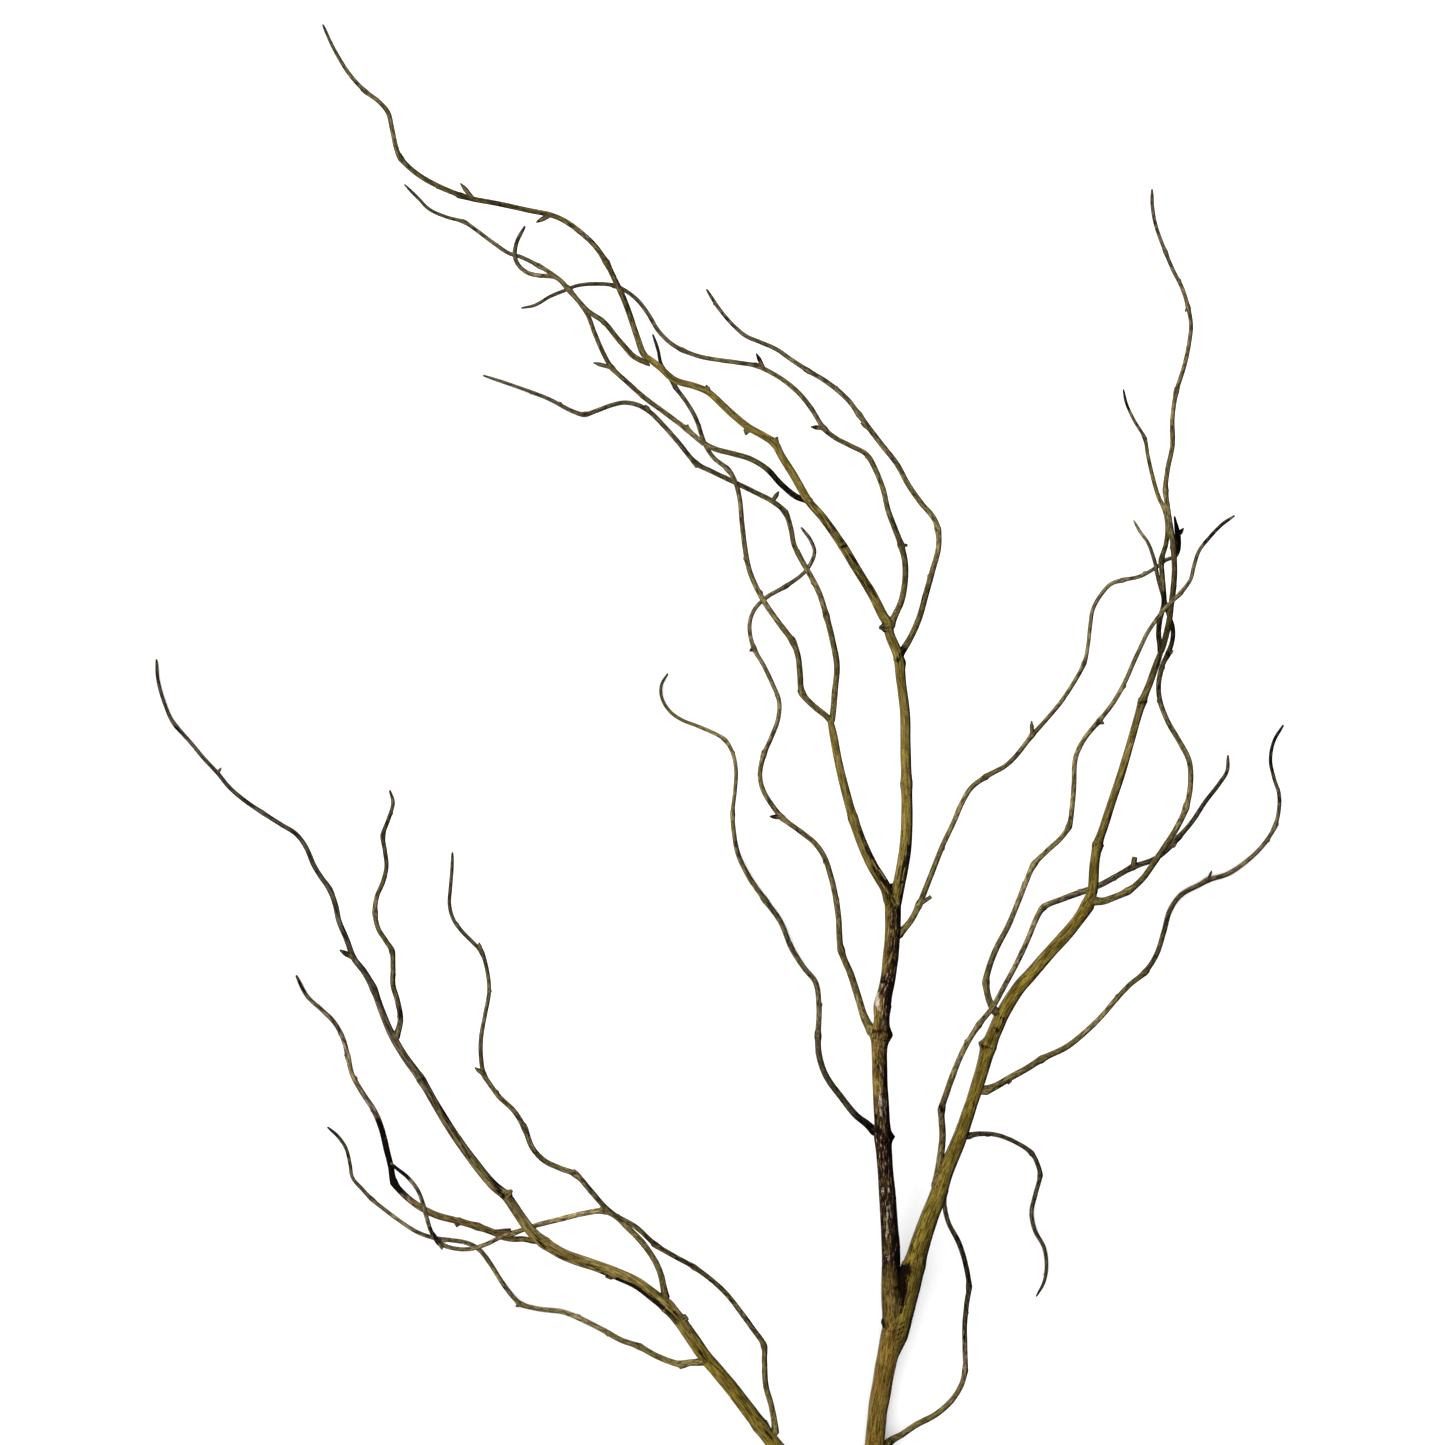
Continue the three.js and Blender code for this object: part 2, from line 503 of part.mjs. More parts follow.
    route: [
      [774, 1437, 15], [775, 1428, 16], [771.6, 1406.3, 19], [766, 1386.2, 23],
      [764.5, 1361, 28], [763.9, 1345.5, 31], [753, 1329, 35], [740, 1311, 40],
      [726, 1293.5, 45], [711.3, 1279.8, 50], [694, 1267, 55], [674, 1256, 60],
      [656, 1245, 64], [635, 1226.5, 69], [616, 1216, 72], [604, 1206, 74],
      [591, 1191.2, 76], [575.5, 1174.5, 78], [559.5, 1168, 79], [544, 1160.5, 80],
      [532.5, 1148, 81], [524.5, 1128, 81], [514, 1111, 80], [499.1, 1096.8, 78],
      [489, 1083, 76], [484, 1075, 75], [481, 1057, 72], [481, 1039, 69], [485, 1015, 65],
      [489, 992, 61], [487.5, 972.5, 57], [481.5, 952, 52], [473, 942.5, 50],
      [462.5, 932, 47], [453.5, 919.5, 43], [449.5, 905, 39], [450.5, 887, 34],
      [452, 869, 29], [452.5, 853, 24],
    ],
    knots: [5, 10, 12, 17, 21, 25, 31],
    spurs: [[25, 475.5, 1068, 1], [31, 479, 943, 1]],
  },
  {
    name: 'left_loop_twig',
    parent: 'left_limb',
    bark: 'grey',
    thick: [4.4, 4.3, 4.1, 3.7, 3.2, 3.0, 3.0, 2.7],
    route: [
      [666, 1302, 30], [665, 1295, 31], [663.4, 1286.2, 32], [660.4, 1273.3, 33],
      [653.9, 1259.1, 34], [641, 1241, 34], [626.5, 1226.5, 33], [616, 1216.5, 32],
      [604, 1211, 31], [583.5, 1213.5, 30], [563, 1218.5, 30], [539, 1224.5, 29.5],
      [526.5, 1228.5, 29], [514, 1233, 29], [500, 1237.5, 28.5], [485.5, 1244.5, 28],
      [469.5, 1249, 27.5], [455, 1248.5, 27], [440.5, 1243.5, 26.5], [432, 1233, 26.5],
      [426.5, 1217, 26], [422.5, 1202, 26], [417.4, 1189.6, 25.5], [407.2, 1176.8, 25],
      [397, 1168.6, 24.5], [391.5, 1163.5, 24],
    ],
    knots: [8, 13, 18],
    spurs: [[18, 442, 1249, 0]],
  },
  {
    name: 'left_low_twig',
    parent: 'left_limb',
    bark: 'grey',
    thick: [4.8, 4.1, 3.5, 3.2, 3.3, 2.9, 2.7, 2.3],
    route: [
      [709, 1358.5, 25], [702, 1361.5, 24], [688.5, 1363, 20], [682, 1364.5, 18],
      [674.5, 1363, 16], [656.5, 1356, 12], [639, 1346.5, 9], [621, 1340, 6],
      [604, 1330.5, 3], [584, 1320.5, 1], [563, 1312, 0], [539, 1309, 0],
      [520.5, 1304, 1], [514, 1298, 2], [502.5, 1283, 5], [490.5, 1264, 9],
      [479, 1249.5, 12], [467, 1243, 14], [450, 1240, 16], [432, 1237.5, 17],
      [416, 1231.5, 17], [400.5, 1221.5, 16], [385, 1210, 14], [371.5, 1199, 12],
      [363.3, 1190.3, 11], [352.5, 1177.5, 9], [350, 1164, 8], [346, 1148.5, 6],
      [338, 1136.5, 3], [328, 1127.5, 1],
    ],
    knots: [3, 6, 12, 23],
    spurs: [[3, 680, 1369, -1], [12, 516, 1308, 0]],
  },
  {
    name: 'left_under_twig',
    parent: 'left_limb',
    bark: 'dark',
    thick: [4.7, 4.8, 4.8, 4.4, 4.2, 3.4, 3.2, 2.6],
    route: [
      [541, 1240, 37], [533, 1240.5, 34], [523.1, 1239, 29], [513, 1239, 24.5],
      [503, 1237, 22], [494, 1232.5, 21], [477, 1226.5, 20], [458, 1221, 19],
      [436, 1215, 19], [418.5, 1206, 18], [404, 1194.5, 18], [394, 1182, 17],
      [390.8, 1166.2, 17], [387, 1151, 17], [381.5, 1128.5, 16], [374, 1110.5, 15],
      [362.5, 1093, 13], [352.5, 1075, 11], [348, 1057, 9], [342.5, 1037, 7],
      [333.5, 1021.5, 5], [321.7, 1009.8, 4], [307, 996, 2], [296.5, 976, 1],
    ],
    knots: [6, 11, 18],
    spurs: [[7, 457, 1226, -1]],
    stubs: [[4, 505.5, 1229.5, 1]],
  },
  {
    name: 'left_upright_twig',
    parent: 'left_limb',
    bark: 'grey',
    thick: [4.2, 3.7, 3.5, 3.3, 3.1, 2.7],
    route: [
      [394, 1041, 51], [397, 1034, 52], [400.5, 1020, 54], [397.5, 1001, 58],
      [393, 985, 62], [393, 967.5, 66], [392, 951, 69], [386, 941, 71], [378, 928, 73],
      [375, 912, 74], [377, 896, 75], [383, 882, 75], [386.5, 866, 74], [385, 851.5, 73],
      [383, 835.5, 71], [388.5, 819, 68], [393, 803, 65], [390, 791, 62],
    ],
    knots: [6, 9, 14],
  },
];

const BY_NAME = new Map(SHOOTS.map((shoot) => [shoot.name, shoot]));

// A value read along an evenly spaced list, at a share of 0 to 1
function along(list, share) {
  const place = THREE.MathUtils.clamp(share, 0, 1) * (list.length - 1);
  const before = Math.min(Math.floor(place), list.length - 2);
  return THREE.MathUtils.lerp(list[before], list[before + 1], place - before);
}

// A point of the picture at a real height: what is higher looks larger, so it lies further in
function placed(across, down, height) {
  const reach = SIGHT_SCALE * (1 - height / EYE_HEIGHT);
  const middleX = (SIGHT_MIDDLE.across - ORIGIN.across) * SIGHT_SCALE;
  const middleY = (ORIGIN.down - SIGHT_MIDDLE.down) * SIGHT_SCALE;
  return new THREE.Vector3(
    middleX + (across - SIGHT_MIDDLE.across) * reach,
    middleY + (SIGHT_MIDDLE.down - down) * reach,
    height,
  );
}

// How far along the route each of its points lies, as a share of the whole
function routeShares(route) {
  const reached = [0];
  for (let i = 1; i < route.length; i += 1) {
    const across = route[i][0] - route[i - 1][0];
    const down = route[i][1] - route[i - 1][1];
    reached.push(reached[i - 1] + Math.hypot(across, down));
  }
  return reached.map((length) => length / reached[reached.length - 1]);
}

// The middle line of a shoot, its underside at the given lifts
function middleLine(shoot) {
  const shares = routeShares(shoot.route);
  const points = shoot.route.map(([across, down, lift], i) => {
    const radius = along(shoot.thick, shares[i]) / 2;
    return placed(across, down, lift + radius);
  });
  const curve = new THREE.CatmullRomCurve3(points, false, 'centripetal');
  curve.arcLengthDivisions = points.length * 10;
  return curve;
}

// Where the sections of a shoot lie: far apart where it is straight, close where it bends
function sectionPlaces(shoot, curve, start) {
  const length = curve.getLength();
  const slack = shoot.sides ? LIMB_SLACK : TWIG_SLACK;
  const at = (place) => curve.getPointAt(Math.min(place / length, 1));
  const places = [start];
  let place = start;
  while (place < length) {
    const here = at(place);
    let step = Math.min(LONGEST_STEP, length - place);
    while (step > SHORTEST_STEP) {
      const chord = new THREE.Line3(here, at(place + step));
      const middle = at(place + step / 2);
      const nearest = chord.closestPointToPoint(middle, true, new THREE.Vector3());
      if (nearest.distanceTo(middle) < slack) {
        break;
      }
      step -= STEP_CHANGE;
    }
    place = length - place - step < SHORTEST_STEP ? length : place + step;
    places.push(place);
  }
  return places;
}

// The sections of a shoot: how far along each lies, and its radius
function sections(shoot, curve, grown) {
  const length = curve.getLength();
  const shares = routeShares(shoot.route);
  const parentRadius = shoot.parent ? along(BY_NAME.get(shoot.parent).thick, 0.6) / 2 : 0;
  const collar = shoot.parent ? [0, parentRadius] : [];
  const start = shoot.parent ? parentRadius + FLARE_REACH : 0;
  const places = [...collar, ...sectionPlaces(shoot, curve, start)];
  const knots = (shoot.knots ?? []).map((i) => shares[i] * length);
  for (const knot of knots) {
    const inside = places.slice(collar.length + 1, -1);
    const nearest = inside.reduce((a, b) => (Math.abs(b - knot) < Math.abs(a - knot) ? b : a));
    places[places.indexOf(nearest)] = knot;
  }
  const list = places.map((place, i) => {
    let share = 1;
    if (shoot.parent && i === 0) {
      share = ROOT_SHARE;
    } else if (i < collar.length && !shoot.straightOn) {
      share += FLARE;
    }
    if (knots.includes(place)) {
      share += KNOT_SWELL;
    }
    return { place, radius: (along(shoot.thick, place / length) / 2) * share + grown };
  });
  if (shoot.parent && grown > 0) {
    list[0].place = -ROOT_DEPTH;
  }
  const last = list[list.length - 1];
  if (shoot.dome) {
    for (const reach of DOME_SECTIONS) {
      const radius = last.radius * Math.sqrt(1 - reach * reach);
      list.push({ place: last.place + reach * last.radius, radius });
    }
  } else if (shoot.parent) {
    last.radius *= TIP_SHARE;
  }
  return list;
}

// A point and a travel direction on the middle line, and straight on beyond its ends
function station(curve, place) {
  const length = curve.getLength();
  const inside = THREE.MathUtils.clamp(place, 0, length);
  const travel = curve.getTangentAt(inside / length);
  const point = curve.getPointAt(inside / length);
  return { point: point.addScaledVector(travel, place - inside), travel };
}

// A plain three.js geometry as a solid that can be joined and cut
function solidOf(geometry) {
  geometry.deleteAttribute('normal');
  geometry.deleteAttribute('uv');
  const merged = mergeVertices(geometry, 1e-4);
  return new wasm.Manifold(new wasm.Mesh({
    numProp: 3,
    vertProperties: new Float32Array(merged.attributes.position.array),
    triVerts: new Uint32Array(merged.index.array),
  }));
}

// The tube of a shoot, with a flat side down, grown by a gap where it trims another
function tube(shoot, grown) {
  const curve = middleLine(shoot);
  const list = sections(shoot, curve, grown);
  const sides = shoot.sides ?? TWIG_SIDES;
  const equalArea = Math.sqrt((2 * Math.PI) / (sides * Math.sin((2 * Math.PI) / sides)));
  const rows = list.length - 1;
  const geometry = new THREE.CylinderGeometry(1, 1, 1, sides, rows, false, Math.PI / sides);
  const position = geometry.attributes.position;
  const up = new THREE.Vector3(0, 0, 1);
  for (let i = 0; i < position.count; i += 1) {
    const section = list[Math.round((0.5 - position.getY(i)) * rows)];
    const { point, travel } = station(curve, section.place);
    const right = new THREE.Vector3().crossVectors(travel, up).normalize();
    const above = new THREE.Vector3().crossVectors(right, travel);
    const radius = section.radius * equalArea;
    point.addScaledVector(right, position.getX(i) * radius);
    point.addScaledVector(above, -position.getZ(i) * radius);
    position.setXYZ(i, point.x, point.y, grown > 0 ? point.z : Math.max(point.z, 0));
  }
  return solidOf(geometry);
}

// A short cone that grows out of a shoot, from its middle line to the point given
function sprout(shoot, [at, across, down, rise], pointShare, grown) {
  const share = routeShares(shoot.route)[at];
  const radius = along(shoot.thick, share) / 2;
  const [rootAcross, rootDown, lift] = shoot.route[at];
  const root = placed(rootAcross, rootDown, lift + radius);
  const tip = placed(across, down, lift + radius + rise);
  const base = radius * SPUR_SHARE;
  const length = root.distanceTo(tip) + grown;
  const point = base * pointShare + grown;
  const cone = new THREE.CylinderGeometry(point, base + grown, length, SPUR_SIDES);
  cone.translate(0, length / 2, 0);
  const direction = new THREE.Vector3().subVectors(tip, root).normalize();
  const turn = new THREE.Quaternion().setFromUnitVectors(new THREE.Vector3(0, 1, 0), direction);
  cone.applyQuaternion(turn);
  cone.translate(root.x, root.y, root.z);
  return solidOf(cone);
}

// The one piece that is left of a trimmed shoot, without crumbs
function largestPiece(solid) {
  const pieces = solid.decompose();
  return pieces.reduce((a, b) => (b.volume() > a.volume() ? b : a));
}

// A shoot with its spurs and cut stubs on it, before it is trimmed
function fullShoot(shoot, grown = 0) {
  let solid = tube(shoot, grown);
  for (const spur of shoot.spurs ?? []) {
    solid = solid.add(sprout(shoot, spur, SPUR_POINT, grown));
  }
  for (const stub of shoot.stubs ?? []) {
    solid = solid.add(sprout(shoot, stub, STUB_POINT, grown));
  }
  return solid;
}

function shootSolid(shoot) {
  let solid = fullShoot(shoot);
  for (const name of [shoot.parent, ...(shoot.clear ?? [])]) {
    if (name) {
      solid = solid.subtract(fullShoot(BY_NAME.get(name), TRIM_GAP));
    }
  }
  return largestPiece(solid);
}

function meshOf(shoot) {
  const { vertProperties, triVerts } = shootSolid(shoot).getMesh();
  const geometry = new THREE.BufferGeometry();
  geometry.setAttribute('position', new THREE.BufferAttribute(vertProperties, 3));
  geometry.setIndex(new THREE.BufferAttribute(triVerts, 1));
  geometry.computeVertexNormals();
  const mesh = new THREE.Mesh(geometry, BARKS[shoot.bark]);
  mesh.name = shoot.name;
  return mesh;
}

const branch = new THREE.Group();
for (const shoot of SHOOTS) {
  branch.add(meshOf(shoot));
}

export default branch;
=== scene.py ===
"""A dried branch of a curly willow, laid down on a pale surface and seen from above.

Every shoot of the frame gets its bark: a sheet is rolled round the shoot's own route, swells at
its knots, steps down past each leaf node and carries ridges, scars, buds, spurs and cut stubs.
Metres, +Z up. The sawn end points to -Y and the tips to +Y.
"""

import json
import math
import random

import bpy
import numpy as np
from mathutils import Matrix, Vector

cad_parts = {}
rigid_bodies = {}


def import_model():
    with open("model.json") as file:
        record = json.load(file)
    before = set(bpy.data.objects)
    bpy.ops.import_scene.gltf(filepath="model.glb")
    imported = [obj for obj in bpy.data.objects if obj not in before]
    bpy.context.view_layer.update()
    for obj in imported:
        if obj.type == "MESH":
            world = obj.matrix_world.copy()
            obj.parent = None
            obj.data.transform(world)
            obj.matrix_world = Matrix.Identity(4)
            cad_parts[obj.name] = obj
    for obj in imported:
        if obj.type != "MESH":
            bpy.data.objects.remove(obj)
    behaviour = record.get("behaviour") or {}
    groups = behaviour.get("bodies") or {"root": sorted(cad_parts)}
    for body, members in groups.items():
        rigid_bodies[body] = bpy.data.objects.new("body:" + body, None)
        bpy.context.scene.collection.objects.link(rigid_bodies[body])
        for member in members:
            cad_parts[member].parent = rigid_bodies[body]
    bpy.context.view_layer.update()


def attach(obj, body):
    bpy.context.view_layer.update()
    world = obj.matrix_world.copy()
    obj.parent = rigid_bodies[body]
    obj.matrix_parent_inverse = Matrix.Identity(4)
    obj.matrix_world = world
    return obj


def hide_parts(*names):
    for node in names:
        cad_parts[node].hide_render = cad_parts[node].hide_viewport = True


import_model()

# The view that the routes are points of: straight down, in picture points
SIGHT_SCALE = 0.0007  # metres on the surface for one picture point
SIGHT_MIDDLE = (722.5, 722.5)  # the point right below the eye, across and down
EYE_HEIGHT = 5.0  # of the eye above the surface
ORIGIN = (717.6, 857.3)  # the point that lies at x = 0, y = 0
MIDDLE_X = (SIGHT_MIDDLE[0] - ORIGIN[0]) * SIGHT_SCALE  # where the point below the eye lies
MIDDLE_Y = (ORIGIN[1] - SIGHT_MIDDLE[1]) * SIGHT_SCALE
SENSOR_WIDTH = 36  # of the camera, mm
FAR_LIMIT = 40  # how far the camera sees
MILLIMETRE = 0.001

# The pale surface and the light
FLOOR_SIZE = 30
FLOOR_TONE = 0.93
FLOOR_ROUGHNESS = 0.95
FLOOR_SHEEN = 0.1
KEY_PLACE = (-2.6, 1.9, 2.9)
KEY_SIZE = 2.4
KEY_POWER = 65
SURROUNDINGS = 1.48  # how strong the pale surroundings shine

# Sides of the bark round a shoot
TWIG_SIDES = 16
LIMB_SIDES = 32
TRUNK_SIDES = 40


def limb(name, parent, thick, route, **more):
    """A limb's entry, which alone has sides: olive bark, and an end inside what carries it on."""
    usual = {"bark": "olive", "sides": LIMB_SIDES, "dome": True}
    return {"name": name, "parent": parent, "thick": thick, "route": route, **usual, **more}


def twig(name, parent, thick, route, **more):
    """A twig's entry: the twigs' own bark, and a thin tip."""
    return {"name": name, "parent": parent, "thick": thick, "route": route, "bark": "grey", **more}


# One entry for each shoot, a parent always before what grows from it. After the names of the
# shoot and of its parent come
#   thick   diameters in mm at equal steps from the root to the tip
#   route   [across, down, lift], where lift is the height of its underside in mm
# and then what only some shoots have:
#   bark    another bark than most, by the names in bark_materials
#   straight_on   carries its parent on, so its base has no collar
#   hidden  how far in mm it starts inside its parent
#   dome    ends thick, inside the shoots that carry it on; left out of twigs, False for a limb's tip
#   crown   how thick its end is, against the thickness given for it
#   knots   places in the route, by number, where it swells
#   spurs   [place in the route, across and down of the spur's tip, its rise in mm], and where
#           they differ its thickness against the shoot's and how dark it is
#   stubs   the same for short ends that were cut
SHOOTS = [
    limb("trunk", None, [17.8, 17.2, 16.4, 14.6, 13.4, 13.6, 16.4], [
        [845, 1690, 0], [851, 1640, 0], [858, 1590, 0], [864, 1545, 0], [871, 1490, 1], [875.6, 1434, 2],
        [878, 1411, 3], [882, 1387, 4], [885, 1369, 5], [889.5, 1348, 6], [892.5, 1333, 7], [895, 1318, 8]
    ], bark="ruddy", sides=TRUNK_SIDES),
    limb("centre_stem", "trunk", [13.0, 13.0, 11.3, 10.8, 10.6, 10.7, 11.4], [
        [892, 1333, 9], [891.5, 1318, 10], [891, 1288, 12], [891, 1251, 16], [889.2, 1222, 19],
        [887.3, 1194, 22], [885, 1165, 25], [883, 1137, 28], [881.5, 1108, 31], [880, 1080, 33],
        [879.5, 1051, 35], [880, 1034, 36], [881.5, 1022, 37], [882.5, 1005, 38], [887.5, 982, 40],
        [890, 963, 41], [892.5, 936, 43], [893, 915, 43.5], [892.8, 892.5, 43.5]
    ], bark="dark", straight_on=True, crown=1.16, knots=[7, 11, 13]),
    limb("centre_limb", "centre_stem", [8.8, 8.2, 7.3, 6.9, 7.1], [
        [895, 903, 48.5], [898.7, 886, 49], [902.3, 868, 50.5], [905.6, 846, 52], [907, 815, 55],
        [906.5, 783, 58], [905.5, 744, 61], [905, 713, 63], [901.2, 682, 65], [898, 655, 66],
        [890.5, 636.5, 67], [888, 627, 67]
    ], straight_on=True, knots=[5, 11], spurs=[[11, 881, 627.6, 1.5, 1.05, 0.95]]),
    limb("centre_limb_top", "centre_limb", [6.8, 6.2, 5.7, 5.2, 4.7, 4.5], [
        [889, 632, 67], [888, 625, 67], [882, 614, 67.5], [871.2, 592.4, 68], [858.2, 571.5, 68],
        [842, 545, 67], [823, 518, 66], [808.5, 501, 65], [794, 476, 63], [782, 457, 61], [774, 443, 60],
        [762, 435, 59], [748, 427, 58], [731.5, 413.5, 57], [708, 392, 55], [695.5, 386.5, 54],
        [674.5, 380, 53], [659.5, 367, 52], [643, 354, 50]
    ], straight_on=True, knots=[10], spurs=[[12, 746, 434, 0], [10, 777, 438, 0], [14, 706.5, 386, 0]]),
    limb("side_limb", "centre_stem", [8.2, 7.0, 5.8, 5.3], [
        [889.5, 901, 48], [886.3, 889, 48.5], [881, 879.5, 48], [872.8, 866, 47], [862.5, 844, 46],
        [853, 817.5, 45], [845, 789, 44], [838.1, 760, 43], [833.2, 733.5, 42], [830, 719, 41]
    ], straight_on=True, knots=[5]),
    limb("left_limb", "trunk", [11.0, 10.4, 9.6, 8.5, 7.6, 6.2, 5.4, 4.0, 3.3, 2.9, 2.4], [
        [866, 1562, 4], [852, 1542, 5], [826, 1508, 7], [800, 1475, 9], [772.5, 1442, 12],
        [760, 1425.5, 14], [746.3, 1407.4, 16], [732.2, 1389, 18], [717.6, 1371.5, 20], [704.5, 1356, 22],
        [692, 1338, 24], [680, 1321, 26], [667, 1306, 27], [653, 1295, 28], [636.6, 1283, 29],
        [617, 1274, 31], [596.3, 1266, 32], [578, 1260, 33], [562.3, 1253.8, 34], [543.6, 1242.2, 36],
        [531, 1231, 37], [520, 1216, 38], [506, 1196, 40], [493, 1185, 41], [471.8, 1159, 44],
        [452.5, 1132, 46], [435.4, 1104, 48], [421, 1079.2, 49], [404, 1055.5, 50], [391.2, 1033.4, 50],
        [381, 1009, 50], [373.4, 988.2, 49], [364, 971.5, 48], [354, 958.5, 47], [346.5, 939, 45],
        [339, 921, 43], [335.5, 905, 41], [329.5, 889, 39], [321, 877, 37], [314, 865.5, 35],
        [305.5, 846.5, 32], [296, 834, 29], [281, 824.5, 25], [261.5, 812, 20], [245, 800.8, 16],
        [229, 787, 12], [217.5, 773, 8], [204, 758.5, 5], [191, 743, 3], [175, 725, 1], [170.5, 718, 0.5],
        [163, 699, 0], [158, 680, 0], [156.5, 660, 0]
    ], dome=False, knots=[5, 12, 19, 27, 31, 37, 43, 49],
       spurs=[[33, 340.5, 950.5, 1, 0.9, 1], [46, 221, 768, 0, 0.8, 0.4],
           [22, 510.6, 1191.4, 1, 1.05, 0.45], [15, 607, 1276.6, 0, 0.7, 0.9]],
       stubs=[[11, 687, 1316.5, 2, 0.62, 0.75]]),
    limb("right_limb", "trunk", [13.4, 13.7, 11.4, 8.9, 9.8, 8.6, 8.2], [
        [898, 1336, 9], [902, 1321, 9.5], [906, 1304, 11], [909.5, 1289.5, 13], [914.5, 1264.5, 16],
        [920.8, 1241.8, 20], [929.5, 1216.5, 24], [938.4, 1194, 28], [945, 1172.5, 31], [958, 1142, 34],
        [970, 1107.5, 36], [980.3, 1075.8, 37], [989, 1045.5, 37], [996, 1028, 37], [1004, 1011, 37],
        [1019.6, 986.5, 36], [1030, 975, 36], [1050, 952, 36], [1072.7, 926.6, 37], [1087.5, 905, 39],
        [1093, 888, 40.5]
    ], straight_on=True, hidden=14, knots=[4, 12, 19]),
    limb("right_limb_top", "right_limb", [7.4, 6.3, 5.8, 5.5, 5.1, 4.7], [
        [1092.5, 892, 40.5], [1093.5, 882, 41], [1094.6, 863, 43], [1098, 844, 45], [1104, 826.3, 47],
        [1112, 801.3, 50], [1121.3, 773.5, 52], [1129.5, 746, 54], [1136, 723, 55], [1143, 700, 56],
        [1149.5, 683.5, 56], [1156, 665, 55], [1161.5, 650, 54]
    ], straight_on=True, knots=[3, 9]),
    twig("centre_tip_twig", "centre_limb_top", [4.5, 3.9, 3.7, 3.6, 3.6, 3.1, 2.2], [
        [648, 359, 50.5], [643, 353, 51], [637.2, 337, 53], [629.5, 314, 57], [622.5, 296, 60],
        [615, 280, 62], [606, 262, 64], [595, 246, 66], [579, 231, 68], [565, 221, 70], [551, 215, 72],
        [529.7, 210.5, 74], [500, 204, 76], [473, 199, 76], [461, 195.5, 75], [438, 186, 72],
        [418, 174.5, 67], [400.5, 158, 60], [396, 147, 56], [392, 128.5, 50], [388, 112.5, 44],
        [378.2, 101, 38], [365, 91, 31], [349, 73.5, 22], [334, 49, 10], [323, 25, 0]
    ], straight_on=True, knots=[6, 14, 17, 22], spurs=[[10, 537, 222, -2], [13, 461, 184, 3]]),
    twig("centre_hook_twig", "centre_limb_top", [4.0, 3.6, 3.5, 3.1, 2.8], [
        [650, 366, 50.5], [645, 362, 50.5], [640, 360, 50.5], [632, 355, 50.5], [625, 347, 51],
        [616.5, 337.2, 52], [604, 322, 53], [588, 311, 53], [578.5, 301, 53], [569, 290, 53],
        [556, 277.5, 53], [539, 275.5, 53], [528.4, 273, 53], [519.9, 266.8, 53], [515, 257, 54],
        [516.5, 243, 56], [524.5, 227, 60]
    ], straight_on=True, knots=[9]),
    twig("centre_long_twig", "centre_limb_top", [4.2, 3.9, 3.5, 3.3, 3.1, 2.8, 2.3], [
        [813, 505, 65.5], [808, 500.5, 65], [797, 497, 63], [781, 484, 60], [767, 469, 57],
        [750.5, 459, 53], [732.2, 453.5, 49], [714, 448.5, 45], [700, 440.5, 43], [686.5, 429, 42],
        [664, 412, 42], [645, 398, 43], [627, 382, 44], [612, 368, 45], [604, 354.5, 46], [595, 334, 46],
        [588, 315.5, 46], [579, 302, 46], [569, 290, 46], [555, 276, 46], [539, 266, 46], [521, 257, 46],
        [508.5, 253, 46], [493.5, 243, 47], [477.5, 231, 49], [464, 222, 52], [445, 216.5, 56],
        [429, 209, 60], [418, 198, 64], [405, 185, 68]
    ], knots=[9, 13, 20, 25], spurs=[[13, 594, 363, 0], [9, 687.8, 425.2, 0]]),
    twig("centre_inner_twig", "centre_limb", [4.5, 4.0, 3.5, 3.3, 3.0, 2.9, 2.3], [
        [889.5, 632, 67], [891, 625, 67.5], [895, 615, 68], [901, 602, 70], [905, 581, 73], [905, 562, 76],
        [901, 544.8, 79], [895, 529, 81], [888, 510, 83], [883, 489, 84], [875, 468.6, 84],
        [866.5, 454.5, 83], [851, 446, 82], [835.4, 438, 80], [824, 428.5, 78], [811, 408, 76],
        [798.4, 392.7, 74], [781, 378.5, 72], [764, 369, 71], [757.5, 366, 70], [737, 362.5, 68],
        [719, 360, 66], [699.8, 356.5, 64], [682, 350, 62], [670.5, 343, 60], [658.2, 330.7, 57],
        [647.5, 313, 54], [635.2, 298, 51], [615.5, 286, 47], [592, 284, 43], [576, 286, 40],
        [566, 290, 38], [551, 296, 35], [534.6, 305.3, 32], [522, 308, 30]
    ], knots=[6, 14, 19, 23, 28], spurs=[[14, 811.5, 427, 0], [18, 756.5, 354, 2]],
       stubs=[[6, 907.2, 545.4, 0, 0.6]]),
    twig("centre_outer_twig", "centre_limb", [4.7, 4.2, 3.8, 3.8, 3.5, 3.0, 2.5], [
        [894, 661, 66], [899.5, 655, 66.5], [910, 638.6, 68], [919.4, 617.5, 71], [926, 594, 75],
        [932.5, 571, 80], [938.5, 548, 85], [938, 529.2, 90], [932.7, 516.5, 94], [922, 504, 98],
        [908.5, 485, 103], [897, 464, 107], [882, 445, 110], [870.5, 430, 112], [859, 414.5, 113],
        [849, 401, 113], [838, 390.5, 113], [824, 380, 112], [808, 370.5, 110], [792, 360, 107],
        [776, 349, 103], [760, 342, 99], [746, 336, 95], [732.5, 324.5, 91], [719, 308.5, 88],
        [707, 290, 86]
    ], knots=[7, 14, 18], spurs=[[13, 861.2, 423.5, 0, 0.8]]),
    twig("side_low_twig", "side_limb", [4.4, 4.1, 3.7, 3.5, 3.4, 3.1, 2.0], [
        [831, 726, 41], [833, 713, 41], [835, 690.5, 43], [837, 666, 46], [832.8, 641.2, 49],
